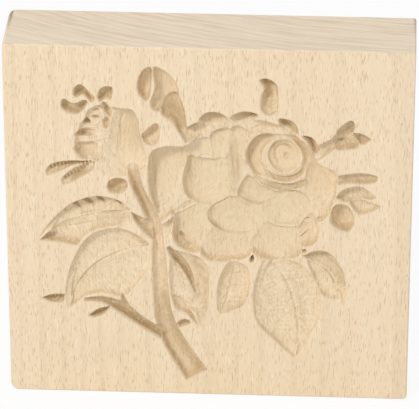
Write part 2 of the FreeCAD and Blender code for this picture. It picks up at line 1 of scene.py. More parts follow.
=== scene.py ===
import math
import bmesh
import bpy
import numpy as np
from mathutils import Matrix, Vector


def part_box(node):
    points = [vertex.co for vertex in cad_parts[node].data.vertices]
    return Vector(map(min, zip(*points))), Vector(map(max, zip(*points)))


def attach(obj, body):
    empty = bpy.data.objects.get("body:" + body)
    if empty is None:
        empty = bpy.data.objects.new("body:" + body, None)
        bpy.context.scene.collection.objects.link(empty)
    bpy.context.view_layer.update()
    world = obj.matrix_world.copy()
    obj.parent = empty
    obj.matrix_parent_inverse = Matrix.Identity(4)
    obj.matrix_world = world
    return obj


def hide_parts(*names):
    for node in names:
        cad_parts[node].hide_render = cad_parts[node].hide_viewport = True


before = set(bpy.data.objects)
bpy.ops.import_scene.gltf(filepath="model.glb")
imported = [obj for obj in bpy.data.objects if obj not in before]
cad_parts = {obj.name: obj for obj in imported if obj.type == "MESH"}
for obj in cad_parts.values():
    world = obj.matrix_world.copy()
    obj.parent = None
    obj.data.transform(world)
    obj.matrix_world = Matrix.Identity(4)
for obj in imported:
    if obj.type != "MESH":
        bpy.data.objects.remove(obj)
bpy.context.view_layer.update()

scene = bpy.context.scene
scene.view_settings.view_transform = "Standard"
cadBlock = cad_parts["stamp_block"]
blockLow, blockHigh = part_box("stamp_block")
blockHeight = (blockHigh.z - blockLow.z) * 1000
frontY = blockLow.y

# The carving is worked out as a field of depths over the face, in millimetres: u to the right and v up
# from the middle of the face. Every cut deepens the field, which is then set into the block.
carving = {
    "step": 0.16,  # of the grid
    "left": -43.7, "right": 43.7, "bottom": -45.3, "top": 44.9,
    "depthScale": 1.15,
    "roseLevel": 2.2, "roseRim": 1.4, "heartLevel": 2.7, "leafLevel": 1.3,  # where inner cuts start
    "bud": 3.0, "petal": 3.6, "heart": 4.4, "leaf": 2.1, "leaflet": 1.6,  # how deep the forms go
    "wallRun": 0.26, "innerRun": 0.30,  # how far a wall runs inwards for each millimetre of depth
    "roundness": 0.30, "innerRoundness": 0.36,  # a low value gives a level floor, a high one a bowl
    "innerShare": 0.82,  # how far the petals inside the rose go below their rims
    "leanPush": 1.3, "tilt": 0.34,  # how much deeper a floor is on the side that it leans to
    "usualLean": (-0.4, 0.5),  # of the petals inside the rose
    "groundInset": 0.5,  # how far a shared hollow keeps inside its outline
    "shoulder": 0.45,  # the share of a groove's depth that its straight walls take
    "sightDrop": 0.5,  # a deep form looks higher than it lies, by this much for each millimetre of depth
    "lineDepth": 1.7,  # scales every fine scored line and ridge
    "lineShadeAndHighlight": 0.75,  # how much painted shade darkens a scored line, and how much painted highlight pales a ridge
    "carvedFrom": 0.25,  # scored lines and tool marks show from this depth on
    "flatBelow": 0.012,  # shallower than this, the face is left flat
    "rimSoftness": 0.6,  # in grid steps
    "toolMarks": 0.012,
    "crossGrain": 0.34,  # darkening of walls that cut across the fibres
    "sideMargin": 3.5, "endMargin": 3.0, "backMargin": 2.0,  # the solid's own faces stay out here
    "crispWithin": 44.5,  # the rim of the carving is a crisp edge up to here on both sides
    "marksWithin": 8.0,  # past the deepest cut, and well short of the back
    "sharpAngle": 50,
    "triangles": 188000,
}


def curveThrough(points, closed=False, spacing=0.22):
    # Evenly spaced points on a smooth curve through a few.
    p = np.array(points, float)
    if closed:
        p = np.vstack([p[-1:], p, p[:2]])
    else:
        p = np.vstack([2 * p[0] - p[1], p, 2 * p[-1] - p[-2]])
    found = []
    for a, b, c, d in zip(p[:-3], p[1:-2], p[2:-1], p[3:]):
        count = max(2, int(np.hypot(*(c - b)[:2]) / spacing))
        t = (np.arange(count) / count)[:, None]
        found.append(0.5 * (2 * b + (c - a) * t + (2 * a - 5 * b + 4 * c - d) * t * t
                            + (3 * b - a - 3 * c + d) * t ** 3))
    if not closed:
        found.append(p[-2:-1])
    return np.vstack(found)


def loop(*points):
    return curveThrough(points, closed=True)


def between(*edges):
    # One outline from edges that meet end to end, with a corner at each meeting.
    return np.vstack([curveThrough(points)[:-1] for points in edges])


def oval(u, v, halfLength, halfWidth, turn=0.0):
    angle = np.linspace(0, 2 * np.pi, 49)[:-1]
    along, across = halfLength * np.cos(angle), halfWidth * np.sin(angle)
    c, s = math.cos(math.radians(turn)), math.sin(math.radians(turn))
    return np.stack([u + along * c - across * s, v + along * s + across * c], axis=1)


def nearest(points, line, closed):
    # Each point's distance to a line, its place along the line, and whether it lies past an open end.
    a = line if closed else line[:-1]
    b = np.roll(line, -1, axis=0) if closed else line[1:]
    best = np.full(len(points), 1e9)
    place = np.zeros(len(points))
    beyond = np.zeros(len(points), bool)
    for k in range(len(a)):
        d = (b[k] - a[k])[:2]
        length = max(float(d @ d), 1e-9)
        raw = ((points - a[k][:2]) @ d) / length
        t = np.clip(raw, 0, 1)
        away = np.hypot(*(points - a[k][:2] - t[:, None] * d).T)
        closer = away < best
        best[closer] = away[closer]
        place[closer] = k + t[closer]
        if not closed and k in (0, len(a) - 1):
            past = raw < 0 if k == 0 else raw > 1
            beyond[closer] = past[closer]
        else:
            beyond[closer] = False
    return best, place, beyond


def insideOf(points, outline):
    # Which points lie inside a closed outline.
    x, y = points.T
    inside = np.zeros(len(points), bool)
    for (x0, y0), (x1, y1) in zip(outline, np.roll(outline, -1, axis=0)):
        if y0 == y1:
            continue
        crosses = (y0 > y) != (y1 > y)
        inside ^= crosses & (x < (x1 - x0) * (y - y0) / (y1 - y0) + x0)
    return inside


def bulge(mask, push):
    # The shape of a skin held at the edge of a mask and pushed. A coarse skin is found first and
    # then made finer, so that a few passes on each grid are enough.
    if min(mask.shape) <= 18:
        skin, passes = np.zeros(mask.shape), 220
    else:
        half = bulge(mask[::2, ::2], push[::2, ::2] * 4)
        skin = np.repeat(np.repeat(half, 2, 0), 2, 1)[:mask.shape[0], :mask.shape[1]]
        passes = 46
    skin = skin * mask
    for _ in range(passes):
        mean = np.zeros_like(skin)
        mean[1:-1, 1:-1] = (skin[:-2, 1:-1] + skin[2:, 1:-1] + skin[1:-1, :-2] + skin[1:-1, 2:]) / 4
        skin = (mean + push / 4) * mask
    return skin


def blurred(a, sigma):
    # A Gaussian blur, sigma in grid steps.
    reach = max(1, int(sigma * 3 + 0.5))
    weights = np.exp(-0.5 * (np.arange(-reach, reach + 1) / sigma) ** 2)
    weights /= weights.sum()
    for axis in (0, 1):
        padded = np.pad(a, [(reach, reach) if k == axis else (0, 0) for k in (0, 1)], mode="edge")
        a = sum(w * (padded[k:k + a.shape[0], :] if axis == 0 else padded[:, k:k + a.shape[1]])
                for k, w in enumerate(weights))
    return a


def valueNoise(us, vs, sizeU, sizeV, seed, turn=0.0):
    # Smooth random values from -1 to 1, in cells of a given size and direction.
    cells, shift = 256, 400  # the shift keeps every cell's number above zero
    grid = np.random.default_rng(seed).uniform(-1, 1, (cells, cells))
    c, s = math.cos(math.radians(turn)), math.sin(math.radians(turn))
    x = (us[None, :] * c + vs[:, None] * s) / sizeU + shift
    y = (vs[:, None] * c - us[None, :] * s) / sizeV + shift
    i, j = x.astype(int), y.astype(int)
    fx, fy = x - i, y - j
    fx, fy = fx * fx * (3 - 2 * fx), fy * fy * (3 - 2 * fy)
    i, j, i1, j1 = i % cells, j % cells, (i + 1) % cells, (j + 1) % cells
    low = grid[j, i] * (1 - fx) + grid[j, i1] * fx
    high = grid[j1, i] * (1 - fx) + grid[j1, i1] * fx
    return low * (1 - fy) + high * fy


class Face:
    # The face being carved: its depths, its fine lines and its tones of painted shade, all on one grid.

    def __init__(self):
        step = carving["step"]
        self.us = np.arange(carving["left"], carving["right"] + 1e-6, step)
        self.vs = np.arange(carving["bottom"], carving["top"] + 1e-6, step)
        self.depth = np.zeros((len(self.vs), len(self.us)))
        self.settled = self.depth
        self.fine = np.zeros_like(self.depth)
        self.tone = np.zeros_like(self.depth)

    def window(self, line, margin):
        # The part of the grid round a line, with its points as one list.
        low, high = line[:, :2].min(axis=0) - margin, line[:, :2].max(axis=0) + margin
        i = slice(*np.searchsorted(self.us, [low[0], high[0]]))
        j = slice(*np.searchsorted(self.vs, [low[1], high[1]]))
        gridU, gridV = np.meshgrid(self.us[i], self.vs[j])
        return (j, i), np.stack([gridU.ravel(), gridV.ravel()], axis=1), gridU.shape

    def deepen(self, where, depth):
        np.maximum(self.depth[where], depth, out=self.depth[where])

    def cup(self, outline, depth, lean=(0.0, 0.0), rim=0.0, flutes=None, roundness=None):
        # A gouged hollow: steep at the rim, level below, deepest towards the lean.
        lowInRose = rim >= carving["roseLevel"]
        depth, rim = depth * carving["depthScale"], rim * carving["depthScale"]
        if rim:
            depth = rim + (depth - rim) * carving["innerShare"]
            lean = lean if any(lean) else carving["usualLean"]
        if lowInRose:
            outline = outline - np.array([0, carving["sightDrop"] * rim])
        where, points, shape = self.window(outline, 4 * carving["step"])
        mask = insideOf(points, outline).reshape(shape).astype(float)
        away, _, _ = nearest(points, outline, True)
        middle = outline.mean(axis=0)
        reach = np.hypot(*(outline - middle).T).mean()
        towards = (points - middle) @ np.array(lean)
        # The skin is pushed harder towards the lean, within limits.
        push = 1 + carving["leanPush"] * towards / (reach * max(0.6, np.hypot(*lean) * 1.4))
        skin = bulge(mask, np.clip(push, 0.15, 3).reshape(shape))
        usual = carving["innerRoundness" if rim else "roundness"]
        swell = (skin / max(skin.max(), 1e-9)) ** (roundness or usual)
        swell = swell * np.clip(1 + carving["tilt"] * towards.reshape(shape) / reach, 0.4, 1.5)
        run = carving["innerRun" if rim else "wallRun"]
        floor = np.minimum(rim + (depth - rim) * swell, rim + away.reshape(shape) / run)
        if flutes:
            turn, spacing, height = flutes
            c, s = math.cos(math.radians(turn)), math.sin(math.radians(turn))
            across = (points[:, 1] * c - points[:, 0] * s).reshape(shape)
            wave = np.abs(np.sin(math.pi * across / spacing)) - 0.6
            floor = floor + height * wave * np.clip(swell * 2 - 0.6, 0, 1)
        self.deepen(where, np.where(mask > 0, floor, 0))

    def ground(self, outline, depth):
        # A level hollow that several petals share.
        where, points, shape = self.window(outline, 2 * carving["step"])
        away, _, _ = nearest(points, outline, True)
        away = np.where(insideOf(points, outline), away - carving["groundInset"], -1).reshape(shape)
        self.deepen(where, np.clip(away / carving["wallRun"], 0, depth * carving["depthScale"]))

    def groove(self, stations, rim=None, roundEnds=False, level=False):
        # A gouge stroke through stations of u, v, half the width and the depth.
        line = curveThrough(stations)
        if rim:
            line[:, 1] -= carving["sightDrop"] * rim * carving["depthScale"]
        where, points, shape = self.window(line, line[:, 2].max() + 1.2)
        away, place, beyond = nearest(points, line, False)
        index = np.arange(len(line))
        half = np.interp(place, index, line[:, 2])
        depth = np.interp(place, index, line[:, 3]) * carving["depthScale"]
        across = np.clip(away / np.maximum(half, 0.05), 0, 1)
        if rim is None:  # from the flat face: straight walls with a rounded floor, or a level one
            start = depth * carving["shoulder"]
            swell = np.sqrt(1 - across ** (5 if level else 2))
            wall = start - (away - half) / carving["wallRun"]
        else:  # a shallow scoop that starts at the rim
            start = rim * carving["depthScale"]
            depth = start + (depth - start) * carving["innerShare"]
            swell = 1 - across ** 2
            wall = -1.0
        cut = np.where(away <= half, start + (depth - start) * swell, wall)
        if not roundEnds:
            cut = np.where(beyond, 0, cut)
        self.deepen(where, np.maximum(cut, 0).reshape(shape))

    def arc(self, u, v, radius, start, end, half, depth, rim=0.0):
        # A scoop round a centre, from one angle to another, thin at its ends.
        stations = []
        for share in np.linspace(0, 1, 15):
            angle = math.radians(start + (end - start) * share)
            swell = 0.3 + 0.7 * math.sin(math.pi * share) ** 0.4
            stations.append((u + radius * math.cos(angle), v + radius * math.sin(angle),
                             half * swell, rim + (depth - rim) * swell))
        self.groove(stations, rim)

    def settle(self):
        # The fine lines drawn after this lie on the smoothed depths of the cuts made so far.
        self.settled = blurred(self.depth, 5)

    def sunk(self, line):
        # Places drawn as they look from above, moved down in a few steps to where they lie.
        line = np.array(line, float)
        seenV = line[:, 1].copy()
        i = np.clip(np.searchsorted(self.us, line[:, 0]), 0, len(self.us) - 1)
        for _ in range(4):
            j = np.clip(np.searchsorted(self.vs, line[:, 1]), 0, len(self.vs) - 1)
            line[:, 1] += 0.6 * (seenV - carving["sightDrop"] * self.settled[j, i] - line[:, 1])
        return line

    def scratch(self, points, width, cut, ends=0.3, sunk=False):
        # A fine scored line, thinner towards its ends, or a ridge where the cut is negative.
        line = curveThrough(self.sunk(points) if sunk else points, spacing=0.1)
        where, grid, shape = self.window(line, width)
        away, place, _ = nearest(grid, line, False)
        share = place / max(1, len(line) - 1)
        swell = np.clip(np.minimum(share, 1 - share) / ends + 0.2, 0, 1)
        profile = np.clip(1 - away / (0.5 * width * (0.5 + 0.5 * swell)), 0, 1)
        added = (cut * swell * profile).reshape(shape) * carving["lineDepth"]
        pick = np.maximum if cut > 0 else np.minimum
        pick(self.fine[where], added, out=self.fine[where])

    def paintShade(self, points, width, amount):
        # A soft darker stroke of painted shade.
        line = curveThrough(self.sunk(points), spacing=0.4)
        where, grid, shape = self.window(line, width)
        away, _, _ = nearest(grid, line, False)
        stroke = (amount * np.exp(-(away / (0.5 * width)) ** 2)).reshape(shape)
        np.maximum(self.tone[where], stroke, out=self.tone[where])


def carveCrown(face):
    # The hollow that the rose lies in, the small petals along its top and the tall one above them.
    face.ground(loop((-13.6, 14.0), (-11.0, 19.8), (-4.6, 23.4), (1.0, 29.4), (9.0, 30.2), (17.0, 28.8),
                     (23.4, 24.0), (27.0, 16.4), (30.2, 10.0), (28.0, 3.4), (24.6, -3.6), (17.0, -7.8),
                     (6.0, -8.8), (-5.0, -6.2), (-8.0, 0.0), (-11.4, 4.4)), carving["roseLevel"])
    face.cup(loop((12.4, 40.3), (14.6, 40.6), (16.7, 38.8), (17.1, 35.5), (16.8, 32.0), (14.6, 30.7),
                  (12.8, 32.2), (12.7, 35.5), (13.4, 38.0)), 2.7, (0.0, 0.8), flutes=(90, 0.8, 0.05))
    face.cup(loop((-5.9, 26.2), (-3.6, 28.1), (-1.6, 28.4), (0.4, 26.2), (-0.6, 24.0), (-3.6, 23.2),
                  (-5.8, 22.8)), 2.7, (0.0, 0.5))
    face.cup(loop((-2.4, 28.8), (-0.9, 30.9), (1.6, 31.4), (3.9, 30.5), (5.1, 29.0), (4.8, 26.6),
                  (1.8, 26.4), (-0.6, 26.4)), 3.0, (0.0, 0.6))
    face.cup(loop((5.1, 29.8), (7.2, 31.3), (9.6, 31.7), (12.2, 30.8), (10.8, 29.2), (8.6, 27.4),
                  (5.8, 26.4), (4.8, 28.0)), 2.9, (0.0, 0.5))
    face.cup(loop((17.2, 30.0), (19.8, 29.6), (21.5, 28.0), (22.0, 26.0), (20.2, 25.2), (18.2, 26.4),
                  (17.2, 28.4)), 2.8, (0.2, 0.4))
    face.arc(15.0, 18.8, 8.2, 50, 148, 1.5, 3.1)
    face.cup(oval(9.4, 29.7, 0.5, 0.45), 3.6)


def carveLeftPetals(face):
    # The petals at the left of the heart, which overlap from the outside in.
    petal, level, rim = carving["petal"], carving["roseLevel"], carving["roseRim"]
    face.cup(loop((-14.0, 19.8), (-11.6, 21.3), (-8.4, 21.7), (-5.8, 21.2), (-4.4, 18.0), (-5.4, 12.0),
                  (-5.0, 6.6), (-8.6, 3.6), (-11.8, 0.9), (-13.2, 4.5), (-14.6, 10.0), (-14.8, 15.5)),
             petal, (-0.9, 0.8), rim, flutes=(78, 1.5, 0.05))
    face.cup(loop((-4.8, 19.4), (-2.6, 18.8), (0.8, 18.6), (4.0, 18.8), (4.8, 14.0), (5.6, 10.4),
                  (4.6, 7.4), (1.0, 5.6), (-3.0, 6.0), (-5.7, 8.4), (-6.7, 12.5), (-5.8, 17.0)),
             petal + 0.7, (-1.2, 0.0), level, flutes=(86, 1.6, 0.05))
    face.cup(loop((5.8, 22.6), (7.4, 20.5), (8.5, 17.6), (8.5, 13.0), (7.4, 9.4), (5.8, 9.2), (4.5, 12.5),
                  (4.0, 17.0), (4.5, 20.5)), petal - 0.5, rim=level, roundness=0.6)
    face.cup(loop((-4.9, 22.8), (-2.6, 24.0), (-0.2, 24.4), (0.9, 21.8), (0.3, 18.8), (-2.6, 18.0),
                  (-4.9, 19.8)), petal - 0.3, (0.0, 0.5), level)
    face.cup(loop((0.2, 24.9), (2.2, 26.7), (4.9, 27.0), (5.4, 23.5), (4.8, 20.0), (2.0, 18.6),
                  (0.2, 20.6)), petal, (0.0, 0.6), level)
    face.cup(loop((4.9, 26.4), (6.6, 27.8), (8.4, 27.2), (10.8, 25.4), (9.0, 23.0), (7.9, 20.4),
                  (5.8, 20.2), (4.7, 23.0)), petal, (-0.4, 0.2), level)


def carveSkirt(face):
    # The outer petals below and to the right of the heart.
    petal, heart = carving["petal"], carving["heart"]
    level, rim = carving["roseLevel"], carving["roseRim"]
    face.cup(loop((24.8, 19.4), (27.6, 17.3), (31.0, 15.4), (31.4, 11.0), (30.4, 6.0), (28.6, 2.4),
                  (25.6, 1.6), (23.6, 5.6), (23.4, 11.0), (23.6, 16.0)), petal, (0.3, 1.2), rim,
             flutes=(80, 1.4, 0.05))
    face.cup(loop((13.2, 7.8), (17.0, 10.1), (22.2, 10.2), (25.0, 7.6), (24.2, 3.2), (19.0, -0.4),
                  (15.0, 0.0), (13.1, 3.8)), petal + 0.3, (0.0, 0.5), level)
    face.cup(loop((-7.8, 3.6), (-5.4, 6.0), (-1.4, 7.0), (1.0, 4.6), (1.8, -1.0), (0.6, -5.8), (-3.4, -7.9),
                  (-7.2, -6.3), (-8.8, -3.0), (-8.6, 0.8)), petal - 0.2, (-0.4, 0.0), rim)
    face.cup(loop((0.0, 4.6), (2.0, 6.6), (4.8, 8.0), (7.2, 8.2), (9.6, 6.4), (13.4, 5.6), (14.8, 2.4),
                  (12.8, -1.6), (8.4, -3.1), (4.0, -2.4), (1.0, -0.2), (-0.4, 2.2)), petal + 0.3,
             (-0.4, -0.3), level)
    face.cup(loop((7.0, 8.6), (9.4, 6.5), (13.0, 5.7), (16.2, 7.4), (16.8, 9.8), (12.8, 11.6), (10.0, 14.2),
                  (8.2, 12.6)), heart - 0.3, (-0.2, -0.3), level)
    face.cup(loop((14.0, 1.2), (17.6, 0.0), (21.8, 0.2), (22.8, -2.4), (20.0, -5.7), (15.0, -6.2),
                  (11.4, -4.2), (11.8, -0.8)), petal - 0.3, rim=level)
    face.cup(loop((25.8, 3.2), (27.2, -1.2), (26.2, -4.6), (23.6, -5.8), (20.8, -5.0), (21.6, -2.0),
                  (23.4, 1.6)), petal - 0.5, rim=rim, flutes=(60, 0.9, 0.06))
    face.cup(loop((0.2, -1.6), (5.0, -2.2), (10.6, -2.2), (12.0, -6.0), (9.0, -9.3), (4.0, -10.4),
                  (-0.4, -9.6), (-2.2, -6.2)), petal - 0.3, (0.0, 0.3), rim)
    face.cup(loop((10.8, -3.8), (15.0, -5.0), (19.6, -4.8), (23.0, -5.2), (22.0, -8.4), (17.0, -9.9),
                  (12.2, -8.6), (10.0, -6.6)), petal - 0.6, rim=rim)
    face.cup(oval(10.8, -9.2, 1.1, 0.65, 80), 2.4)
    face.cup(between([(-11.7, -0.4), (-10.2, 1.0), (-8.2, 2.6)], [(-8.2, 2.6), (-8.9, -1.0), (-10.6, -4.8)],
                     [(-10.6, -4.8), (-11.5, -2.6), (-11.7, -0.4)]), 1.6, (-0.2, 0.6))


def carveHeart(face):
    # The turned petals round the middle of the rose.
    heart, heartLevel, level = carving["heart"], carving["heartLevel"], carving["roseLevel"]
    face.cup(loop((8.9, 20.3), (9.5, 22.6), (11.0, 24.8), (13.4, 26.2), (16.6, 25.8), (19.0, 25.7),
                  (22.4, 25.4), (24.3, 23.6), (25.2, 21.2), (25.2, 18.4), (24.0, 15.4), (21.7, 13.2),
                  (18.6, 12.4), (15.2, 12.9), (12.0, 13.8), (9.8, 16.8)),
             heartLevel + 0.5, (-0.5, 0.5), level)
    face.cup(loop((22.8, 25.4), (25.2, 25.0), (26.8, 22.8), (27.6, 20.9), (26.0, 19.6), (24.9, 21.5),
                  (24.0, 23.6)), 2.8)
    face.cup(loop((9.4, 20.2), (10.2, 23.0), (12.2, 25.2), (14.8, 25.6), (16.4, 24.6), (14.2, 22.6),
                  (13.2, 20.2), (13.0, 17.4), (14.0, 14.6), (12.0, 14.6), (10.2, 17.0)),
             heart + 0.2, (-0.7, 0.3), heartLevel)
    face.groove([(19.4, 25.3, 0.4, 3.0), (21.6, 24.2, 0.9, 3.7), (23.8, 21.8, 1.2, 3.8),
                 (24.2, 18.8, 1.1, 3.7), (23.0, 16.0, 0.5, 3.0)], heartLevel)
    face.cup(oval(18.3, 19.9, 4.0, 4.3), heart, (-0.6, 0.6), heartLevel)
    face.arc(18.3, 19.4, 5.8, 188, 335, 0.7, heart - 0.6, heartLevel)
    face.arc(18.5, 19.8, 2.4, 40, 250, 0.55, heart + 0.7, heartLevel)
    face.cup(oval(18.9, 19.2, 1.0, 1.3), heart + 0.45, rim=heartLevel)
    face.arc(18.3, 21.6, 10.3, 228, 302, 1.25, heart - 1.3, level)


def carveTallBud(face):
    # The tall bud on top: two petals and the ribbed cup that holds them.
    face.cup(loop((-14.3, 43.2), (-16.2, 41.8), (-17.4, 38.6), (-16.9, 35.6), (-15.2, 33.8), (-14.0, 35.2),
                  (-13.7, 38.6), (-13.4, 41.4)), 2.6, flutes=(84, 1.1, 0.05))
    face.cup(loop((-13.4, 43.0), (-10.6, 42.2), (-8.2, 39.6), (-7.0, 36.0), (-7.6, 33.0), (-11.2, 31.0),
                  (-13.4, 31.4), (-14.2, 33.6), (-13.1, 37.5)), 2.9, flutes=(96, 1.3, 0.05))
    face.cup(loop((-9.8, 35.6), (-7.3, 35.6), (-5.8, 32.0), (-5.2, 28.0), (-5.4, 23.2), (-6.9, 24.8),
                  (-8.8, 28.0), (-11.4, 30.2), (-11.9, 33.0)), 3.7, (0.6, 0.4), flutes=(-38, 0.9, 0.08))


def carveLeftBud(face):
    # The bud at the left with its sepals and leaflets, and the hips beside it.
    bud, leaflet = carving["bud"], carving["leaflet"]
    for sepal, depth, turn in (
            (loop((-31.0, 38.1), (-32.5, 37.2), (-33.0, 35.6), (-32.2, 34.4), (-30.3, 34.9), (-28.5, 33.2),
                  (-27.5, 34.4), (-29.2, 36.4)), 2.2, -40),
            (loop((-35.3, 34.1), (-36.0, 32.2), (-34.6, 30.4), (-32.2, 29.8), (-30.4, 31.0), (-29.3, 33.2),
                  (-30.4, 33.9), (-32.8, 32.9)), 2.3, -18),
            (loop((-23.2, 37.2), (-24.9, 37.7), (-26.5, 36.7), (-27.1, 34.6), (-26.2, 33.3), (-24.8, 34.2),
                  (-23.6, 34.2)), 2.2, 50)):
        face.cup(sepal, depth, flutes=(turn, 0.8, 0.05))
    face.ground(loop((-31.9, 26.8), (-30.6, 29.2), (-29.8, 31.4), (-27.6, 32.8), (-25.8, 33.2), (-24.0, 32.6),
                     (-22.4, 31.6), (-21.6, 27.0), (-22.6, 22.8), (-24.4, 18.8), (-26.8, 16.4), (-30.4, 16.9),
                     (-32.6, 18.9), (-33.3, 21.8), (-32.8, 24.4)), 1.3)
    face.groove([(-25.4, 32.8, 0.5, 1.6), (-24.7, 31.0, 0.8, 2.4), (-23.9, 29.0, 0.5, 1.9)], roundEnds=True)
    face.cup(oval(-27.4, 30.7, 1.6, 0.6), 2.2)
    face.cup(oval(-27.6, 28.6, 1.4, 0.8), 2.4)
    face.cup(loop((-31.4, 26.8), (-30.6, 28.2), (-29.8, 29.0), (-28.4, 27.7), (-28.2, 26.6)), 2.6)
    face.cup(oval(-25.0, 27.2, 1.3, 1.8), 2.3)
    face.cup(loop((-32.8, 24.4), (-30.8, 25.8), (-27.4, 25.4), (-24.4, 24.6), (-27.0, 23.6), (-29.8, 22.8),
                  (-31.8, 23.1)), 2.4, (-0.8, 0.0))
    face.cup(loop((-33.0, 20.4), (-32.2, 21.8), (-29.8, 22.3), (-27.2, 21.8), (-25.8, 19.8), (-26.4, 17.6),
                  (-28.6, 16.9), (-31.4, 17.8)), 2.5, (-0.4, 0.4), roundness=0.5)
    face.cup(loop((-24.4, 31.6), (-21.4, 31.8), (-18.6, 31.4), (-17.1, 28.6), (-16.6, 25.0), (-15.4, 20.0),
                  (-15.2, 16.4), (-18.0, 14.2), (-23.2, 12.9), (-27.8, 15.6), (-27.6, 19.0), (-26.0, 22.6),
                  (-25.0, 26.6)), bud - 0.3, (1.0, 0.3), flutes=(86, 1.5, 0.05), roundness=0.62)
    face.cup(between([(-39.7, 12.8), (-39.9, 14.6), (-38.0, 16.4), (-34.0, 17.2), (-27.6, 17.2)],
                     [(-27.6, 17.2), (-29.2, 16.0), (-32.8, 15.9), (-36.0, 14.3), (-39.7, 12.8)]),
             leaflet, (0.0, 0.6))
    face.cup(between([(-35.8, 10.4), (-36.2, 12.0), (-34.6, 13.9), (-32.6, 15.5)],
                     [(-32.6, 15.5), (-30.2, 16.3), (-27.6, 17.0)],
                     [(-27.6, 17.0), (-28.4, 14.6), (-31.4, 12.5), (-34.0, 10.9), (-35.8, 10.4)]),
             leaflet, (0.0, 0.5))
    face.cup(loop((-12.8, 28.0), (-14.8, 26.4), (-16.7, 24.1), (-15.4, 22.2), (-13.2, 21.7), (-11.9, 23.6),
                  (-11.9, 26.6)), 2.3, (-0.5, 0.6), flutes=(60, 0.9, 0.05))
    face.cup(oval(-22.4, 10.4, 2.7, 2.3, 15), 2.6)


def carveRightBud(face):
    # The small bud at the right, with its stalk and its two ribbed sepals.
    face.groove([(25.8, 18.8, 0.9, 1.2), (27.3, 20.9, 1.4, 1.3), (29.0, 22.4, 1.4, 1.4),
                 (31.4, 23.7, 1.2, 1.7)], roundEnds=True)
    face.cup(loop((30.0, 24.4), (31.4, 26.2), (34.4, 26.3), (36.2, 24.6), (36.6, 22.4), (33.8, 21.6),
                  (31.0, 21.8)), 2.4, flutes=(-8, 0.62, 0.07))
    face.cup(loop((34.8, 29.9), (33.0, 28.9), (31.5, 27.2), (31.2, 25.4), (33.6, 25.2), (35.5, 26.6),
                  (35.8, 28.4)), 2.2, flutes=(64, 0.7, 0.06))
    face.cup(between([(34.9, 26.6), (37.2, 26.4), (39.9, 24.9)],
                     [(39.9, 24.9), (38.2, 23.3), (36.0, 23.6), (34.9, 26.6)]), 2.2, flutes=(-24, 0.6, 0.06))


def carveRightLeaves(face):
    # Three small leaves and a hip, in a row down the right side of the rose.
    face.cup(loop((31.0, 14.2), (34.6, 15.3), (38.6, 15.5), (41.4, 14.6), (41.0, 13.0), (38.6, 12.4),
                  (34.4, 12.4), (31.4, 12.0)), 1.9, flutes=(-3, 0.7, 0.04))
    face.cup(between([(31.0, 8.4), (33.2, 10.9), (36.9, 11.9), (39.6, 10.4), (41.4, 8.6)],
                     [(41.4, 8.6), (38.0, 7.5), (34.0, 7.3), (31.0, 8.4)]), 2.1, flutes=(-8, 0.7, 0.05))
    face.cup(between([(34.2, 7.8), (38.4, 7.9), (42.6, 6.4)],
                     [(42.6, 6.4), (39.8, 4.5), (36.8, 4.2), (34.2, 7.8)]), 1.8, flutes=(-20, 0.6, 0.06))
    face.cup(loop((31.4, 6.7), (34.0, 6.5), (35.5, 4.4), (36.1, 1.6), (34.8, -0.9), (32.4, -0.6),
                  (30.3, 1.2), (30.0, 4.2)), 2.7, flutes=(50, 0.9, 0.05))


def carveUpperLeaf(face):
    # The upper leaf at the left, its upper half folded over.
    leaf, level = carving["leaf"], carving["leafLevel"]
    face.ground(loop((-39.4, -2.4), (-35.0, 3.4), (-27.6, 6.6), (-20.6, 3.9), (-21.4, -0.6), (-30.6, -3.2),
                     (-33.6, -5.6)), level)
    face.cup(between([(-42.2, -4.9), (-40.2, -1.4), (-37.2, 2.2), (-33.6, 5.4), (-28.0, 7.5), (-22.6, 6.6),
                      (-18.9, 3.9)], [(-18.9, 3.9), (-23.0, 2.7), (-29.0, 1.9), (-36.0, 0.2), (-42.2, -4.9)]),
             leaf, (0.0, 0.5))
    face.cup(between([(-42.0, -5.3), (-39.2, -2.4), (-35.0, 0.4), (-29.0, 1.9), (-19.8, 3.5)],
                     [(-19.8, 3.5), (-19.4, -0.4), (-24.6, -0.6), (-30.2, -3.4), (-32.6, -6.4), (-36.4, -6.0),
                      (-42.0, -5.3)]), leaf - 0.3, (-0.5, -0.3), roundness=0.26)
    for start, end, half in (((-33.7, 6.0), (-31.5, 4.3), 0.45), ((-31.2, 6.9), (-28.2, 5.0), 0.6),
                             ((-27.8, 7.4), (-25.4, 5.7), 0.5), ((-22.8, 6.8), (-21.5, 5.7), 0.4)):
        face.groove([(*start, half, leaf + 1.0), (*end, 0.2, leaf + 0.4)], leaf - 0.1)
    face.cup(between([(-19.2, 3.5), (-16.6, 2.0), (-13.6, 0.9)], [(-13.6, 0.9), (-13.2, -2.0), (-13.6, -4.8)],
                     [(-13.6, -4.8), (-16.4, -2.0), (-18.4, 1.0), (-19.2, 3.5)]), leaf + 0.2, (0.3, 0.3))
    face.cup(oval(-16.8, -5.4, 1.1, 0.5, 25), 2.7)


